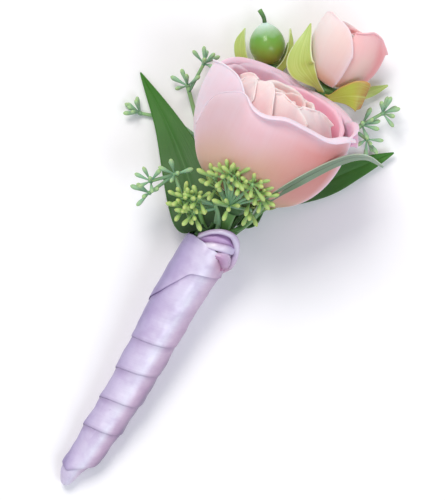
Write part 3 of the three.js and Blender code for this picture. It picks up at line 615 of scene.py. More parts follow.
roseGuards = [
    {  # the big front petal, its right half rolled over along the rim
        "centre": 5, "half": 63, "out": 1.4, "height": 25.3, "ripple": 0.3, "paint": "outer", "curl": 150,
        "rim": [(-58, 0.66), (-55, 0.82), (-47, 0.94), (-37, 1.01), (-26, 1.055), (-15, 1.0), (-6, 0.995),
                (6, 1.045), (24, 1.03), (39, 1.005), (53, 1.035), (65, 1.01)],
        "lip": [(-58, 0.1), (-46, 0.2), (-30, 0.28), (-20, 0.8), (-8, 1.5), (30, 1.5), (50, 1.8), (60, 1.6),
                (68, 0.6)],
        "ruffle": 0.7,
    },
    {  # left
        "centre": -76, "half": 56, "out": 0.1, "height": 26.5, "paint": "pale", "curl": 110,
        "rim": [(-132, 0.72), (-110, 0.95), (-83, 1.02), (-59, 1.07), (-45, 1.08), (-29, 1.02), (-20, 0.9)],
        "lip": 0.5,
    },
    {  # right
        "centre": 84, "half": 52, "out": -0.4, "twist": 0.4, "height": 25.0, "paint": "lilac", "curl": 120,
        "rim": [(32, 0.8), (50, 0.9), (66, 0.96), (80, 1.0), (110, 1.02), (136, 0.9)],
        "lip": [(32, 0.05), (66, 0.2), (80, 0.5), (110, 1.0), (136, 1.2)],
    },
    {  # far right
        "centre": 152, "half": 54, "out": -0.3, "height": 25.2, "lip": 1.6, "curl": 115,
        "paint": "lilac", "corner": 0.1,
    },
    {  # far left
        "centre": -146, "half": 56, "out": -2.0, "height": 27.0, "lip": 1.1, "curl": 100,
        "paint": "far", "corner": 0.08,
    },
]

# Petals that line the far side of the cup, just inside its rim.
roseLinings = [
    {"share": 0.86, "height": 26.4, "centre": -152, "half": 48, "corner": 0.12, "paint": "far"},
    {"share": 0.84, "height": 25.8, "centre": 150, "half": 52, "corner": 0.1, "paint": "blushAndShade"},
    {"share": 0.8, "height": 26.2, "centre": -112, "half": 36, "corner": 0.12, "paint": "far"},
]

# Tall petals fold over the heart from the front, and rings of petals turn inside them.
roseFolds = [
    {"share": 0.8, "height": 28.0, "centre": -66, "half": 36, "corner": 0.14},
    {"share": 0.78, "height": 28.6, "centre": -34, "half": 30, "corner": 0.18},
    {"share": 0.76, "height": 28.2, "centre": 2, "half": 34, "corner": 0.14},
    {"share": 0.79, "height": 27.2, "centre": 46, "half": 40, "corner": 0.12},
]
ringValues = ("share", "height", "close", "count", "start", "step", "half", "lip")
roseRings = [
    dict(zip(ringValues, row))
    for row in (
        (0.7, 25.6, 132, 4, 96, 58, 42, 0.5),
        (0.58, 26.4, 132, 4, 2, 90, 54, 0.4),
        (0.46, 26.4, 128, 4, 24, 90, 56, 0.35),
        (0.36, 26.2, 124, 4, 62, 90, 58, 0.3),
        (0.24, 25.4, 122, 3, 12, 120, 70, 0.3),
        (0.13, 24.2, 118, 3, 70, 120, 80, 0.2),
    )
]


def makeRose():
    parts = [makePetalPiece(rose, spec, 22, 20) for spec in roseGuards]
    for lining in roseLinings:
        spec = {**lining, "lip": 0.6, "curl": 100, "ripple": 0.8, "ruffle": 0.9}
        parts.append(makePetalPiece(rose, spec, 24, 18))
    for fold in roseFolds:
        spec = {**fold, "lip": 0.6, "curl": 100, "close": 150, "twist": 0.9, "paint": "cream"}
        spec.update({"ripple": 0.9, "ruffle": 1.3, "sway": 1.4})
        parts.append(makePetalPiece(rose, spec, 24, 18))
    for ring in roseRings:
        for k in range(ring["count"]):
            spec = {**ring, "centre": ring["start"] + ring["step"] * k + rng.uniform(-4, 4)}
            spec["height"] = ring["height"] * rng.uniform(0.96, 1.02)
            spec["paint"] = "cream" if ring["share"] > 0.4 else "heart"
            spec.update({"ripple": 0.8, "curl": 90, "twist": 0.7, "ruffle": 1.1, "sway": 1.0})
            parts.append(makePetalPiece(rose, spec, 18, 12))
    print("rose:", len(parts), "petals")
    parts.append(turnedPiece("seat", rose["seat"], 20, rose["frame"], petalInside))
    handIn(joinPieces("rosePetals", parts), "petal", "rose_petals")


budGuards = [
    {  # the pale one in front
        "centre": -50, "half": 64, "out": 1.2, "lip": 0.3, "curl": 80, "ripple": 0.15, "paint": "bud",
        "rim": [(-114, 0.8), (-85, 0.93), (-60, 0.98), (-30, 0.99), (-11, 0.95), (3, 0.85), (14, 0.7)],
    },
    {  # the one at the right, its edge curled out
        "centre": 46, "half": 46, "out": 0.1, "lip": 0.6, "curl": 110, "rightCurl": 1.3, "height": 16.8,
        "ripple": 0.25, "paint": "budSide",
        "rim": [(0, 0.96), (20, 1.0), (38, 1.03), (62, 0.98), (84, 0.86), (92, 0.8)],
    },
    {  # far right
        "centre": 150, "half": 70, "out": -0.7, "lip": 0.3, "curl": 90, "height": 13.0,
        "paint": "budSide", "corner": 0.1,
    },
    {  # far left
        "centre": -130, "half": 60, "out": -0.2, "lip": 0.3, "curl": 90, "height": 13.6,
        "paint": "bud", "corner": 0.1,
    },
]
budRings = [
    {"share": 0.78, "height": 13.4, "close": 156, "start": 10, "half": 66, "paint": "budSide"},
    {"share": 0.56, "height": 12.6, "close": 150, "start": 60, "half": 70, "paint": "bud"},
    {"share": 0.34, "height": 12.0, "close": 144, "start": 80, "half": 76, "paint": "bud"},
]


def makeBud():
    parts = [makePetalPiece(bud, spec, 18, 16) for spec in budGuards]
    for ring in budRings:
        for k in range(3):
            spec = {**ring, "centre": ring["start"] + 120 * k, "ripple": 0.3, "curl": 70}
            spec.update({"sway": 0.3, "lip": 0.2, "twist": 0.5})
            parts.append(makePetalPiece(bud, spec, 12, 10))
    print("rosebud:", len(parts), "petals")
    parts.append(turnedPiece("seat", bud["seat"], 16, bud["frame"], budInside))
    handIn(joinPieces("rosebudPetals", parts), "bud_petal", "rosebud_petals")


makeRose()
makeBud()

# The handle, as far as the stems in it need

handle = {
    "rise": 8.5,
    "tipHeight": 2.2,
    "radii": [(0, 1.3), (1.2, 2.3), (5, 3.3), (12, 4.1), (25, 4.8), (42, 5.5), (58, 6.1), (66, 6.3),
              (71, 6.0)],
    "lean": [(0, -0.8), (2.3, -1.1), (4, -1.0), (5.2, -0.75), (7.3, -0.2), (12, 0.1), (24, 0.4), (36, 0),
             (48, -0.75), (58, -0.9), (64, -0.8), (70, -0.6)],
    "narrowing": [(0, 1.0), (2.3, 0.94), (4, 0.92), (5.5, 0.95), (7.5, 1.02), (12, 1)],
}
tape = {
    "from": 5.0,
    "to": 71.4,
    "below": 1.4,  # how deep it lies under the ribbon
    "thickness": 0.6,  # of all its layers
    "skin": 0.3,
    "lap": 4.5,  # from one turn to the next
    "step": 0.1,  # how far its free edge stands out
    "play": 0.12,
}


def handleRadius(along):
    return smoothValue(handle["radii"], along)


# The wound tip is narrower than the stems in it need. It and the upper part lean to the left.
def leaning(spot):
    lean = smoothValue(handle["lean"], spot.y)
    narrow = smoothValue(handle["narrowing"], spot.y)
    return Vector((spot.x * narrow + lean, spot.y, spot.z))


def handlePoint(along, away, turn):
    rise = math.radians(handle["rise"])
    side = away * math.cos(math.radians(turn))
    lift = away * math.sin(math.radians(turn))
    return Vector((
        side,
        along * math.cos(rise) - lift * math.sin(rise),
        handle["tipHeight"] + along * math.sin(rise) + lift * math.cos(rise),
    ))


# The part of a stem that the tape binds, from where the stem was cut to just past the tape.
def boundStretch(turn, cutAt):
    stations = [cutAt, (cutAt + 64) / 2, 64, 70, tape["to"] + 1.7]
    rooms = [handleRadius(y) - tape["below"] - tape["thickness"] - 1.0 for y in stations]
    return [handlePoint(y, min(2.75, room), turn) for y, room in zip(stations, rooms)]


# Sepals, hips and stems of the flowers


def alongBowl(flower, start, end, gap, away=0):
    def run(b):
        share = start + (end - start) * b
        r, h = bowl(flower["radius"], flower["height"], flower["close"], share)
        swing = math.radians(flower["close"] * share)
        off = gap + away * b * b
        return r + off * math.sin(swing), h - off * math.cos(swing)

    return run


bladeThickness = 0.45  # of sepals and leaves
thinStem = 0.55  # radius of all stems but the rose's


def sepalShape(spec, place):
    angle = math.radians(spec["turn"])
    side = Vector((math.cos(angle), math.sin(angle), 0))
    outward = Vector((math.sin(angle), -math.cos(angle), 0))

    def shape(a, b):
        r, h = spec["run"](b)
        half = spec["halfWidth"] * (1 - b) ** 0.7 * (0.75 + b) + 0.15
        hollow = 0.12 * spec["halfWidth"] * a * a
        frill = 0.25 * drift(a * 1.5, b * 5, spec["turn"]) * abs(a)
        spot = outward * (r + hollow + frill) + side * a * half + Vector((0, 0, h + hollow))
        return place @ spot

    return shape


# A blade along a spine of its own. widths gives its half width along it, hollow lifts its edges.
def spineShape(spec):
    at = smoothRoute([Vector(p) for p in spec["spine"]])

    def shape(a, b):
        side, up = bladeFrame(at, b, 0.002, spec["faces"])
        half = smoothValue(spec["widths"], b)
        frill = 0.35 * drift(a * 1.2, b * 4, spec["spine"][0][0]) * abs(a)
        return at(b) + side * a * half + up * (spec["hollow"] * half * a * a + frill)

    return shape


def makeSepal(spec, place):
    shape = spineShape(spec) if "spine" in spec else sepalShape(spec, place)
    piece = gridPiece("sepal", 10, 18, shape, spec.get("skin", sepalSkin))
    thicken(piece, bladeThickness, offset=0)
    return piece


# Three large sepals of the bud stand away from it, and a fourth hugs it.
budSepals = [
    {  # at its left, with a raised tip
        "spine": [(3.2, 112.9, 5.6), (1.2, 113.7, 8.6), (-1.8, 114.4, 11.4), (-4.8, 115.8, 12.2),
                  (-6.3, 118.8, 12.4), (-7.2, 122.4, 12.0), (-8.0, 125.8, 10.6)],
        "widths": [(0, 0.9), (0.17, 0.9), (0.33, 2.3), (0.5, 3.8), (0.67, 2.8), (0.83, 1.4), (1, 0.12)],
        "faces": (-0.5, 0, 1), "hollow": 0.1,
    },
    {  # at its right, reddened towards the tip
        "spine": [(4.0, 112.5, 5.4), (5.4, 112.8, 8.0), (8.4, 115.2, 11.4), (10.9, 116.6, 12.2),
                  (12.6, 117.4, 10.8)],
        "widths": [(0, 0.8), (0.25, 0.9), (0.5, 2.7), (0.8, 4.2), (1, 3.4)],
        "faces": (0.2, -0.35, 1), "hollow": 0, "skin": redSepal,
    },
    {  # low at its right, just over the table
        "spine": [(4.6, 112.8, 3.8), (9.4, 115.6, 2.6), (12.8, 119.2, 2.4), (15.8, 123.0, 3.0)],
        "widths": [(0, 0.9), (0.35, 1.6), (0.7, 1.3), (1, 0.12)],
        "faces": (0, 0, 1), "hollow": 0.1,
    },
    {"turn": 236, "halfWidth": 2.6, "run": alongBowl(bud, 0.05, 0.44, 1.6, 0.4)},
]
berrySepals = [
    {
        "spine": [(-10.6, 110.9, 4.5), (-8.8, 112.2, 5.2), (-8.4, 115.4, 6.6), (-9.4, 118.8, 7.4),
                  (-11.6, 122.2, 7.8)],
        "widths": [(0, 0.7), (0.4, 0.9), (0.8, 0.6), (1, 0.1)], "faces": (0.4, -0.2, 1), "hollow": 0.1,
    },
    {
        "spine": [(-10.8, 110.7, 4.4), (-14.2, 108.6, 4.8), (-17.8, 110.0, 5.6), (-20.2, 113.0, 6.2),
                  (-21.0, 116.6, 6.8)],
        "widths": [(0, 0.8), (0.3, 1.6), (0.7, 1.5), (1, 0.12)], "faces": (-0.2, -0.3, 1), "hollow": 0.1,
    },
]


# The small sepals under the berry cup it.
def besideBerry(b):
    return 1.6 + 3.9 * b ** 0.6, -0.7 + 5.2 * b ** 1.4


def inFrame(place, *spots):
    return [place @ Vector(spot) for spot in spots]


calyxes = {
    "roseCalyxAndStem": {
        "node": "rose_calyx_and_stem", "frame": rose["frame"], "sides": 18,
        "hip": [(0, -5.9), (1.7, -5.6), (2.7, -4.9), (3.2, -4.0), (3.2, -3.1), (3.0, -2.6), (3.6, -2.1),
                (3.0, -1.7), (0, -1.5)],
        "sepals": [
            {"turn": turn, "halfWidth": 2.6, "run": alongBowl(rose, 0.06, 0.22, 2.4), "skin": hipSepal}
            for turn in (36, 108, 180, 252, 324)
        ],
        "stem": [handlePoint(along, 0, 0) for along in (14, 28, 45, 62, 72.5)]
        + inFrame(rose["frame"], (0, 0.6, -7.2), (0, 0, -4.5)),
        "stemForm": (1.5, 12, 30),  # radius, sides, steps
    },
    "rosebudCalyxAndStem": {
        "node": "rosebud_calyx_and_stem", "frame": bud["frame"], "sides": 18,
        "hip": [(0, -5.5), (1.3, -5.2), (2.2, -4.4), (2.6, -3.5), (2.4, -2.3), (2.3, -1.8), (2.9, -1.3),
                (2.2, -1.0), (0, -0.9)],
        "sepals": budSepals,
        "stem": boundStretch(300, 40) + [(2, 77, 7.6), (2.8, 84, 3.6), (4.2, 98, 2.2)]
        + inFrame(bud["frame"], (0, 0, -7), (0, 0, -4)),
        "stemForm": (thinStem, 8, 40),
    },
    "berrySepalsAndStem": {
        "node": "berry_sepals_and_stem", "frame": berry["frame"], "sides": 14,
        "hip": [(0, -1.9), (0.8, -1.7), (1.4, -1.2), (1.8, -0.8), (1.9, -0.4), (1.2, -0.25), (0, -0.2)],
        "sepals": [{"turn": turn, "halfWidth": 1.6, "run": besideBerry} for turn in (108, 160, 214)]
        + berrySepals,
        "stem": boundStretch(240, 41) + [(-2.2, 77, 7.6), (-4.6, 86, 3.2), (-8.2, 100, 2.2)]
        + inFrame(berry["frame"], (0, 0, -4), (0, 0, -1)),
        "stemForm": (thinStem, 8, 40),
    },
}


def makeCalyx(name):
    spec = calyxes[name]
    parts = [makeSepal(sepal, spec["frame"]) for sepal in spec["sepals"]]
    parts.append(turnedPiece("hip", spec["hip"], spec["sides"], spec["frame"], stemSkin))
    radius, sides, steps = spec["stemForm"]
    parts.append(tubePiece("stem", spec["stem"], radius, stemSkin, sides, steps))
    handIn(joinPieces(name, parts), "calyx", spec["node"])


def makeBerry():
    body = turnedPiece("berryBody", berry["body"], 24, berry["frame"], berrySkin)
    applyModifier(body, "SUBSURF", levels=1, render_levels=1)
    style = inFrame(berry["frame"], *berry["style"])
    tail = tubePiece("style", style, lambda share: 0.5 + 0.15 * abs(share - 0.4), stemSkin, 8, 8)
    handIn(joinPieces("berry", [body, tail]), "berry", "berry")


makeCalyx("roseCalyxAndStem")
makeCalyx("rosebudCalyxAndStem")
makeBerry()
makeCalyx("berrySepalsAndStem")
print("calyxes, berry and their stems")

# Ruscus leaves


# The place a gap over the rose's bowl, at a share of it and a turn round the flower.
def onBowl(share, turn, gap):
    r, h = alongBowl(rose, 0, 1, gap)(share)
    angle = math.radians(turn)
    return rose["frame"] @ Vector((r * math.sin(angle), -r * math.cos(angle), h))


# The place straight above (x, y) that lies a gap over the rose's bowl.
def overRose(x, y, gap):
    toBowl = rose["frame"].inverted()
    table = [bowl(rose["radius"] + gap, rose["height"], rose["close"], k / 60) for k in range(61)]
    z = 48.0  # above the whole rose
    while z > 5:
        spot = toBowl @ Vector((x, y, z))
        away = math.hypot(spot.x, spot.y)
        if any(away < r and abs(spot.z - h) < 0.4 for r, h in table):
            break
        z -= 0.1
    return Vector((x, y, z))


leaves = {
    "ruscusLeafLeft": {
        "node": "ruscus_leaf_left", "turn": 180, "cutAt": 50, "petiole": (-2.9, 70.2, 12.6),
        "spine": [(-3.8, 70.2, 12.0), (-8.4, 73.8, 8.8), (-16.6, 80.8, 4.8), (-25, 87, 2.8),
                  (-37.2, 94.3, 0.9)],
        "width": 13.6, "shoulder": 0.24, "faces": (0.1, -0.1, 1), "fold": 0.06,
    },
    "ruscusLeafRightLow": {
        "node": "ruscus_leaf_right_low", "turn": 0, "cutAt": 48, "petiole": (4.4, 76.6, 11),
        "spine": [(6.0, 82, 6.8), (9.4, 87.8, 4.1), (14.6, 94.6, 2.8), (18.9, 100.6, 2.4),
                  (25.6, 109.8, 2.2)],
        "width": 7.0, "shoulder": 1.0, "faces": (0.1, 0, 1), "fold": 0.08,
    },
    "ruscusLeafRightHigh": {
        "node": "ruscus_leaf_right_high", "turn": 60, "cutAt": 52, "petiole": (3.4, 74.6, 16.6),
        "spine": [(4.4, 76.8, 20), overRose(5.4, 83.6, 2.2), overRose(9.2, 90.8, 2.2),
                  overRose(14.2, 99.0, 2.4), (17.4, 102.8, 34.5), (20.6, 104.6, 32), (24.9, 104.8, 28)],
        "width": 2.3, "shoulder": 0.5, "faces": (0.5, -0.4, 0.75), "fold": 0.14, "skin": ruscusUndersideGlare,
    },
    "ruscusLeafBack": {
        "node": "ruscus_leaf_back", "turn": 270, "cutAt": 46, "petiole": (-0.4, 73.4, 8.2),
        "spine": [(-0.8, 74.2, 6.0), (-1.2, 78.6, 2.4), (-1.2, 87, 0.55), (-1.6, 97, 0.4),
                  (-2.6, 108.5, 0.4)],
        "width": 15.0, "shoulder": 0.28, "faces": (0, 0, 1), "fold": 0.0,
    },
}


leafForm = {"taper": 0.95, "ribDepth": 0.18, "ribWidth": 0.08, "sway": 0.35}


# A blade along its spine, with its midrib pressed in. A larger shoulder puts its widest place further
# up. The back leaf lies flat.
def leafShape(spec):
    at = smoothRoute([Vector(p) for p in spec["spine"]])
    shoulder = spec["shoulder"]
    taper = leafForm["taper"]
    peak = shoulder / (shoulder + taper)
    widest = peak ** shoulder * (1 - peak) ** taper
    flat = spec["fold"] == 0

    def shape(a, b):
        side, up = bladeFrame(at, b, 0.001, spec["faces"])
        half = 0.5 * spec["width"] * b ** shoulder * max(1 - b, 0) ** taper / widest + 0.15
        if flat:
            return at(b) + side * a * half
        rib = leafForm["ribDepth"] * math.exp(-((a / leafForm["ribWidth"]) ** 2))
        sway = leafForm["sway"] * drift(a * 0.8, b * 4, spec["turn"]) * abs(a)
        return at(b) + side * a * half + up * (sway - spec["fold"] * half * (1 - abs(a)) - rib)

    return shape


def makeLeaves():
    for name, spec in leaves.items():
        leaf = gridPiece(name, 16, 40, leafShape(spec), spec.get("skin", ruscus))
        thicken(leaf, bladeThickness, offset=0)
        route = boundStretch(spec["turn"], spec["cutAt"]) + [spec["petiole"]] + spec["spine"][:2]
        petiole = tubePiece("petiole", route, thinStem, stemSkin, 8, 30)
        handIn(joinPieces(name, [leaf, petiole]), "leaf", spec["node"])
    print("leaves:", len(leaves))


makeLeaves()

# Seeded eucalyptus

fork = onBowl(0.3, -4, 4.2)
sprigParts = {
    "pod": [(0.2, 0.2), (0.24, 1.0), (0.32, 1.8), (0.46, 2.7), (0.6, 3.5), (0.62, 4.1), (0.48, 4.6),
            (0.2, 4.9), (0, 5.0)],
    "knob": [(0, -0.8), (0.45, -0.5), (0.6, 0), (0.45, 0.5), (0, 0.8)],
    "branchRadius": 0.42,
    "goldenAngle": 137.5,  # sets the pods of an umbel out evenly
    "scatter": 0.15,
    "podScale": (0.84, 1.0),
}


# An umbel of pods on its branch: where the branch starts and ends, which way the umbel faces, how many
# pods it has and how many degrees it opens. A branch may pass by a place, and pods may have their own skin.
def umbel(start, hub, towards, count, opens=75, by=None, skin=None):
    return {"start": start, "hub": hub, "towards": towards, "count": count, "opens": opens, "by": by,
            "skin": skin}


sprigs = {
    "eucalyptusFront": {
        "node": "eucalyptus_front", "turn": 120, "cutAt": 44, "skin": podSkin,
        "main": [(-3, 74.6, 17.6), (-4.8, 76.2, 21), (-4.4, 76.8, 25), fork],
        "branches": [
            umbel(None, fork, (-0.1, -0.3, 1), 5, 60),
            umbel(fork, overRose(-8.0, 81.4, 3.2), (-0.4, 0.2, 1), 7, 80),
            umbel(fork, overRose(-4.2, 84.2, 3.4), (-0.1, 0.4, 1), 7, 80),
            umbel(fork, overRose(0.4, 84.8, 3.4), (0.3, 0.3, 1), 6, 85),
            umbel(fork, overRose(4.0, 83.4, 3.6), (0.6, 0, 1), 5, 80),
            umbel(fork, overRose(-6.2, 82.6, 3.0), (-0.2, 0.4, 1), 6, 85),
            umbel(fork, overRose(-2.0, 83.4, 3.4), (0, 0.2, 1), 6, 85),
            umbel(fork, overRose(2.4, 83.8, 3.2), (0.3, 0.2, 1), 6, 85),
            umbel(fork, (-6.4, 79.8, 27.5), (-0.3, 0, 1), 6, 85),
            umbel(fork, (1.8, 81.4, 29.5), (0.3, 0, 1), 5, 85),
            umbel((-4.8, 76.2, 21), (-12.0, 73.4, 21.0), (-0.3, 0, 1), 7),
            umbel((-4.8, 76.2, 21), (-8.8, 75.4, 24.0), (-0.2, 0, 1), 6),
            umbel(fork, (3.0, 79.4, 28.6), (0.7, -0.9, 0.5), 3, 55),
            umbel((-4.2, 75.6, 19.6), (-10.6, 71.9, 19.8), (-0.2, -0.4, 1), 7),
            umbel((-4.2, 75.6, 19.6), (-8.2, 71.8, 21.4), (-0.1, -0.2, 1), 6),
            umbel((-4.8, 76.2, 21), (-10.6, 74.0, 22.8), (-0.1, 0.2, 1), 6),
            umbel(fork, overRose(-5.6, 83.8, 3.6), (-0.3, 0.5, 1), 6, 80),
            umbel((-10.6, 71.9, 19.8), (-16.8, 77.4, 17), (-0.1, 0.3, 1), 5, skin=palePod),
            umbel((-16.8, 77.4, 17), (-21.0, 73.0, 15), (-0.5, 0.2, 0.8), 6, skin=palePod),
            umbel((-16.8, 77.4, 17), (-19.8, 70.4, 14), (-0.3, -0.4, 0.8), 5, skin=palePod),
        ],
    },
    "eucalyptusLeft": {
        "node": "eucalyptus_left", "turn": 210, "cutAt": 40, "skin": palePod,
        "main": [(-4.4, 76, 8.6), (-8.4, 80.8, 3.2), (-14, 86.4, 1), (-21, 93, 1.6), (-25.6, 97.4, 4.4)],
        "branches": [
            umbel(None, (-25.6, 97.4, 4.4), (-0.5, 0.3, 0.6), 5),
            umbel((-24.6, 96.4, 3.9), (-25, 104, 6.4), (-0.1, 0.8, 0.5), 7),
            umbel((-15.4, 87.8, 1), (-32, 85.8, 1.3), (-1, 0, 0.6), 7, 45, by=(-24, 88.4, 0.8)),
        ],
    },
    "eucalyptusRight": {
        "node": "eucalyptus_right", "turn": 330, "cutAt": 42, "skin": palePod,
        "main": [(4, 77, 8), (6.2, 84, 2.6), (8.6, 92, 1), (12.6, 104.6, 1.2), (15.4, 111.4, 4.4)],
        "branches": [
            umbel(None, (15.4, 111.4, 4.4), (0.7, 0.2, 0.6), 7),
            umbel((14.4, 109.4, 3.4), (18.2, 109.0, 6), (0.7, -0.5, 0.6), 6),
            umbel((15.4, 111.4, 4.4), (18.2, 116.4, 6), (0.5, 0.8, 0.5), 7),
        ],
    },
}


def copyPiece(original, place):
    copy = original.copy()
    copy.data = original.data.copy()
    scene.collection.objects.link(copy)
    shift = Matrix.Translation(tipShift * mm)
    copy.data.transform(shift @ Matrix.Scale(mm, 4) @ place @ Matrix.Scale(1 / mm, 4) @ shift.inverted())
    return copy


def makeUmbel(branch, pod):
    turn = Vector((0, 0, 1)).rotation_difference(Vector(branch["towards"]))
    scatter = sprigParts["scatter"]
    parts = []
    for k in range(branch["count"]):
        tilt = math.radians(branch["opens"]) * math.sqrt((k + 0.3) / branch["count"])
        around = math.radians(sprigParts["goldenAngle"] * k)
        out = Vector((math.sin(tilt) * math.cos(around), math.sin(tilt) * math.sin(around), math.cos(tilt)))
        out.rotate(turn)
        out.x += rng.uniform(-scatter, scatter)
        out.y += rng.uniform(-scatter, scatter)
        size = Matrix.Scale(rng.uniform(*sprigParts["podScale"]), 4)
        place = standing(branch["hub"], out.normalized()) @ size
        parts.append(copyPiece(pod, place))
    place = standing(branch["hub"], branch["towards"])
    parts.append(turnedPiece("knob", sprigParts["knob"], 8, place, sprigSkin))
    return parts


def makeBranch(branch):
    start, hub = Vector(branch["start"]), Vector(branch["hub"])
    by = Vector(branch["by"]) if branch["by"] else (start + hub) / 2
    return tubePiece("branch", [start, by, hub], sprigParts["branchRadius"], sprigSkin, 8, 8)


def makeSprigs():
    for name, spec in sprigs.items():
        skins = (podSkin, palePod)
        pods = {skin: turnedPiece("pod", sprigParts["pod"], 8, Matrix.Identity(4), skin) for skin in skins}
        route = boundStretch(spec["turn"], spec["cutAt"]) + spec["main"]
        parts = [tubePiece("stalk", route, thinStem, sprigSkin, 8, 40)]
        for branch in spec["branches"]:
            if branch["start"]:
                parts.append(makeBranch(branch))
            parts += makeUmbel(branch, pods[branch["skin"] or spec["skin"]])
        for pod in pods.values():
            bpy.data.objects.remove(pod)
        handIn(joinPieces(name, parts), "eucalyptus", spec["node"])
    print("eucalyptus:", len(sprigs), "sprigs")


makeSprigs()

# Tape and ribbon


def makeTape():
    steps = 60

    def shape(a, b):
        i, atEnd = closedRow(b, steps)
        along = tape["from"] + (tape["to"] - tape["from"]) * i / steps
        turn = 180 * a
        slant = (along / tape["lap"] + turn / 360) % 1
        reach = handleRadius(min(along, 70)) - tape["below"] - tape["play"] + tape["step"] * slant
        return leaning(handlePoint(along, reach - tape["thickness"] if atEnd else reach, turn))

    piece = gridPiece("stemTape", 36, steps + 2, shape, crepe)
    closeSeam(piece)
    applyModifier(piece, "SOLIDIFY", thickness=tape["skin"] * mm, offset=-1)
    handIn(joinPieces("stemTape", [piece]), "tape", "stem_tape")
    print("tape: wound round the stems")


ribbon = {
    "width": 22.0,
    "thickness": 0.22,
    "knotLength": 44,  # what the knot and the tucked end take of it
    "firstTurn": 0.25,
    "lastTurn": 6.45,
    "lastTurnShare": 0.845,  # where along the ribbon its last turn begins
    "innerTop": 68.2,  # the turns below it reach no higher
    "topEdge": [(0, 65.2), (25, 65.8), (60, 68.0), (90, 68.7), (130, 68.8), (180, 68.0), (270, 70.0),
                (335, 67.0), (360, 65.2)],  # its last turn's upper edge, by degrees round the handle
    "stepDown": 0.34,  # how much lower the covered edge lies than the free one
    "foldHeight": 0.32,
    "creaseHeight": 0.22,
    "edgeWander": 0.3,
    "edge": [(0.25, 3.4), (0.5, 3.9), (0.62, 3.5), (0.7, 3.1), (0.77, 4.1), (0.86, 5.3), (1, 7.3),
             (1.5, 14.3), (2, 17.2), (2.5, 22.2), (3, 25.8), (3.5, 30.4), (4, 34.8), (4.5, 39.1), (5, 42.8),
             (5.5, 48.9), (5.61, 52.4), (5.69, 56.8), (5.75, 60.6), (6, 62.8), (6.5, 64.5)],  # by turns
    # painted shade and sheen across the handle: violet shade at its left, a pale painted sheen right of the
    # middle, mauve and dark violet shade at its right
    "across": [(-1, "#9C8FBB"), (-0.8, "#B9ABD2"), (-0.45, "#D2C6E3"), (0, "#E2DAEF"), (0.3, "#ECE9F8"),
               (0.6, "#D6BFD5"), (0.85, "#BC9DBA"), (1, "#8C7897")],  # from the handle's left to its right
}


overTable = 0.15  # the ribbon's skin lies this far over it at least


# A place on the wound ribbon. under goes from 0 at its free edge to 1 at the covered one.
def ribbonSurface(along, turn, under):
    lift = -ribbon["stepDown"] * (1 - math.exp(-5 * under))
    around = math.radians(turn)
    ring = Vector((math.cos(around), math.sin(around), 0))
    fold = noise.noise(ring * 0.9 + Vector((0, 0, along * 0.16)))
    crease = noise.noise(ring * 2.2 + Vector((5.0, 0, along * 0.5)))
    lift += ribbon["foldHeight"] * fold + ribbon["creaseHeight"] * crease
    spot = handlePoint(along, handleRadius(along) + lift, turn)
    spot.z = max(spot.z, overTable)
    return leaning(spot)


def blend(pairs, x):
    x = min(max(x, pairs[0][0]), pairs[-1][0])
    i = max(k for k in range(len(pairs) - 1) if pairs[k][0] <= x)
    (x0, first), (x1, second) = pairs[i], pairs[i + 1]
    return mixColours(toLinear(first), toLinear(second), (x - x0) / (x1 - x0))


# How near a place on a turn lies to the edge of the turn over it, as a share. It places the painted
# shade under that edge.
def underEdge(spot, b):
    turns = ribbon["firstTurn"] + (ribbon["lastTurn"] - ribbon["firstTurn"]) * b
    rise = math.radians(handle["rise"])
    along = spot.y * math.cos(rise) + (spot.z - handle["tipHeight"]) * math.sin(rise)
    cover = smoothValue(ribbon["edge"], turns + 1)
    return smoothStep(cover - 1.7, cover - 0.1, along)


# Painted shade on the satin: the deep colour along each free edge, over the inner turns at the neck under
# the knot and under the edge of the turn above; "pulled" is a painted pink shade where the knot gathers it.
# "tip" pales the tip a little.
satinShades = {
    "shadeColour": "#7A5C8C",  # and its shares along a free edge, at the neck and beside the next turn's edge
    "freeEdge": 0.25,
    "neck": 0.8,
    "underEdge": 0.34,
    "tip": "#E4DDF0",
    "tipShare": 0.2,
    "pulled": "#B97A98",
    "pulledShare": 0.75,
    "pulledAt": (4.2, 65.0),  # where the knot gathers it, at the right of the neck
}


# The wound ribbon's colour: the painted shade and sheen across the handle, with painted shade along its
# free edges, at the neck, under each next turn's edge and where the knot gathers it
def aroundHandle(spot, a, b):
    colour = blend(ribbon["across"], spot.x / handleRadius(spot.y))
    shadeShare = satinShades["freeEdge"] * smoothStep(0.96, 1.0, -a)
    if b < ribbon["lastTurnShare"]:
        neck = satinShades["neck"] * smoothStep(66.0, 67.5, spot.y)
        shadeShare = max(shadeShare, neck, satinShades["underEdge"] * underEdge(spot, b))
    colour = mixColours(colour, toLinear(satinShades["shadeColour"]), shadeShare)
    x, y = satinShades["pulledAt"]
    pulled = math.exp(-((spot.x - x) ** 2 + (spot.y - y) ** 2) / 5.0) * (spot.z > 14)
    return mixColours(colour, toLinear(satinShades["pulled"]), satinShades["pulledShare"] * pulled)


def woundShape(a, b):
    turns = ribbon["firstTurn"] + (ribbon["lastTurn"] - ribbon["firstTurn"]) * b
    low = smoothValue(ribbon["edge"], turns)
    slope = (smoothValue(ribbon["edge"], turns + 0.02) - smoothValue(ribbon["edge"], turns - 0.02)) / 0.04
    around = 2 * math.pi * handleRadius(low)
    tall = ribbon["width"] * math.sqrt(1 + (slope / around) ** 2)
    top = ribbon["innerTop"]
    if b >= ribbon["lastTurnShare"]:
        top = smoothValue(ribbon["topEdge"], -360 * turns % 360)
    low += ribbon["edgeWander"] * drift(turns * 3.1, 0.7, 2.2) * smoothStep(1.0, 2.0, turns)
    share = (a + 1) / 2
    return ribbonSurface(low + min(tall, top - low) * share, -360 * turns, share)


ribbonEnd = {"from": 9.0, "to": -0.9, "rounding": 2.4, "below": 0.3, "pleat": 0.3}


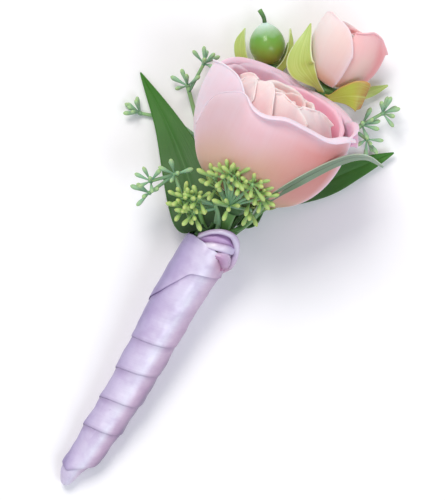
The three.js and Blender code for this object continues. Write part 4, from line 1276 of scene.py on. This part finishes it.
# The end of the ribbon closes the handle's tip under the first turn, with one pleat.
def capShape(a, b):
    tip = ribbonEnd["to"]
    along = (ribbonEnd["from"] - tip) * (1 - b) ** 1.4 + tip
    closing = math.sqrt(max(0, 1 - (1 - min(1, (along - tip) / ribbonEnd["rounding"])) ** 2))
    turn = 180 * a
    pleat = (smoothStep(60, 64, turn) - smoothStep(64, 150, turn)) * (1 - smoothStep(3, 7, along))
    reach = handleRadius(max(along, 0.8)) - ribbonEnd["below"] + ribbonEnd["pleat"] * pleat
    spot = handlePoint(along, reach * closing, turn)
    spot.z = max(spot.z, overTable)
    return leaning(spot)


def onHandle(x, y, lift):
    rise = math.radians(handle["rise"])
    radius = handleRadius(y / math.cos(rise))
    side = max(-radius, min(radius, x))
    height = math.sqrt(radius * radius - side * side)
    along = (y + height * math.sin(rise)) / math.cos(rise)
    z = handle["tipHeight"] + along * math.sin(rise) + height * math.cos(rise) + lift
    return Vector((x, y, z))


handleSlope = 0.149


# Part of the knot: a length of ribbon over the front of the handle. "bend" says how far round it rolls,
# "crown" how high it stands.
def bandShape(spec):
    at = smoothRoute([onHandle(*p) for p in spec["route"]])
    bend = math.radians(spec["bend"])

    def shape(a, b):
        centre = at(b)
        middle = handle["tipHeight"] + centre.y * handleSlope
        out = Vector((centre.x * 0.75, 0, centre.z - middle)).normalized()
        side, up = bladeFrame(at, b, 0.004, out)
        rounding = smoothValue(spec["halfWidths"], b) / math.sin(min(bend, math.pi / 2))
        pleat = spec.get("pleats", 0) * math.sin(a * 8 + b * 3)
        lift = rounding * (math.cos(a * bend) - 1) * spec["crown"] + pleat
        return centre + side * rounding * math.sin(a * bend) + up * lift

    return shape


# The band colours are painted shade and highlight, besides the satin's own lilac.
knotBands = [
    {  # the loop's outer roll
        "route": [(-4.6, 66.9, -0.6), (-3.7, 68.6, 0.4), (-2.2, 70.2, 1.0), (0.2, 71.6, 1.3),
                  (2.6, 72.0, 1.4), (4.6, 71.2, 1.4), (6.1, 69.3, 1.3), (6.8, 67.0, 0.9), (6.6, 64.9, -0.8),
                  (5.4, 63.4, -2.6)],
        "halfWidths": [(0, 0.5), (0.3, 0.65), (0.55, 0.9), (0.75, 1.3), (0.9, 1.3), (1, 0.9)],
        "bend": 120, "crown": 0.8, "pleats": 0.04,
        "tint": [(-1, "#94709F"), (-0.4, "#CDB6DA"), (0.2, "#E6DDF2"), (1, "#A57FAE")], "far": "#C79DB6",
    },
    {  # the hollow of the loop
        "route": [(-4.4, 67.4, -0.8), (-2.2, 68.9, -0.5), (0.6, 70.0, -0.5), (3.2, 70.0, -0.5),
                  (5.2, 68.4, -0.6)],
        "halfWidths": [(0, 1.2), (0.5, 2.0), (1, 1.5)], "bend": 50, "crown": 0.5, "pleats": 0.1,
        "tint": [(-1, "#8C6697"), (-0.2, "#B48CC2"), (0.2, "#D2B4DC"), (0.6, "#A980B8"), (1, "#87608F")],
        "far": "#9B76A6",
    },
    {  # the light band that comes out from under the wound ribbon's edge
        "route": [(-2.8, 66.2, -0.6), (-0.8, 67.2, 0.2), (1.2, 67.9, 0.5), (3.2, 68.5, 0.6),
                  (5.2, 68.8, 0.2)],
        "halfWidths": [(0, 0.6), (0.4, 1.0), (0.8, 1.1), (1, 0.8)], "bend": 64, "crown": 0.7,
        "tint": [(-1, "#B896C4"), (-0.3, "#EBE0F2"), (0.4, "#F1EAF8"), (1, "#B090C0")], "far": "#CBBEDD",
    },
    {  # the pink side of the loop, pulled in at the right
        "route": [(1.4, 65.9, -0.5), (3.2, 66.4, 0.3), (4.7, 66.0, 0.4), (5.5, 64.9, 0.1),
                  (5.3, 63.6, -0.9)],
        "halfWidths": [(0, 0.8), (0.5, 1.7), (1, 1.2)], "bend": 60, "crown": 0.7, "pleats": 0.1,
        "tint": [(-1, "#D6C0D8"), (0.1, "#C9A6C8"), (1, "#A06A92")], "far": "#AC7298",
    },
]


# The tip takes the painted shade and sheen across the handle, paled a little
def onTip(spot, a, b):
    colour = blend(ribbon["across"], (spot.x + 0.8) / 3)
    return mixColours(colour, toLinear(satinShades["tip"]), satinShades["tipShare"])


# "tint" runs across a band and "far" takes over towards its end; both are painted shade and highlight:
# dark at the band's edges, in the loop's hollow and where it tucks under, light where it stands up.
def onBand(spec):
    far = toLinear(spec["far"])
    return lambda spot, a, b: mixColours(blend(spec["tint"], a), far, smoothStep(0.65, 0.95, b))


def makeRibbon():
    steps = 340
    middle = [woundShape(0, k / steps) for k in range(steps + 1)]
    wound = sum((after - before).length for before, after in zip(middle, middle[1:]))
    satin = makeSatin(ribbon["width"], wound)
    woundRibbon = gridPiece("woundRibbon", 24, steps, woundShape, satin)
    paintPiece(woundRibbon, 24, "satinColour", aroundHandle)
    cap = gridPiece("ribbonEnd", 30, 20, capShape, satin)
    paintPiece(cap, 30, "satinColour", onTip)
    closeSeam(cap)
    parts = [woundRibbon, cap]
    for spec in knotBands:
        band = gridPiece("knotBand", 14, 36, bandShape(spec), satin)
        paintPiece(band, 14, "satinColour", onBand(spec))
        parts.append(band)
    for part in parts:
        thicken(part, ribbon["thickness"], offset=-1)
    piece = joinPieces("satinRibbon", parts)
    handIn(piece, "ribbon", "satin_ribbon")
    print("ribbon: wound length", round(wound), "mm, with", len(knotBands), "bands in the knot")


makeTape()
makeRibbon()

# Floor and light

studio = {
    "floor": 3.0,
    "floorColour": "#FCFCFC",
    "world": 0.5,
    "worldColour": "#F6F8FF",
    "lamps": {  # place in metres, size, power, colour
        "key": ((-0.45, 0.35, 0.9), 0.4, 6.2, "#FFFBF6"),
        "fill": ((0.5, -0.1, 0.75), 0.4, 2.4, "#EAF0FF"),
    },
}


def makeStudio():
    bpy.ops.mesh.primitive_plane_add(size=studio["floor"], location=(0, 0, 0))
    floor = bpy.context.object
    floor.name = "floor"
    # Matt card, a shade off white, that takes soft shadows
    finish = {"Base Color": toLinear(studio["floorColour"]), "Roughness": 0.9, "IOR": 1.45}
    floor.data.materials.append(newMaterial("paleCard", finish)[0])
    world = bpy.data.worlds.new("softStudio")
    world.use_nodes = True
    world.node_tree.nodes["Background"].inputs["Color"].default_value = toLinear(studio["worldColour"])
    world.node_tree.nodes["Background"].inputs["Strength"].default_value = studio["world"]
    scene.world = world
    for name, (place, size, power, colour) in studio["lamps"].items():
        bpy.ops.object.light_add(type="AREA", location=place)
        lamp = bpy.context.object
        lamp.name = name
        lamp.data.size = size
        lamp.data.energy = power
        lamp.data.color = toLinear(colour)[:3]
        lamp.rotation_euler = (-Vector(place)).to_track_quat("-Z", "Y").to_euler()
    scene.view_settings.view_transform = "Standard"


makeStudio()
print("floor and lights")

bpy.context.view_layer.update()
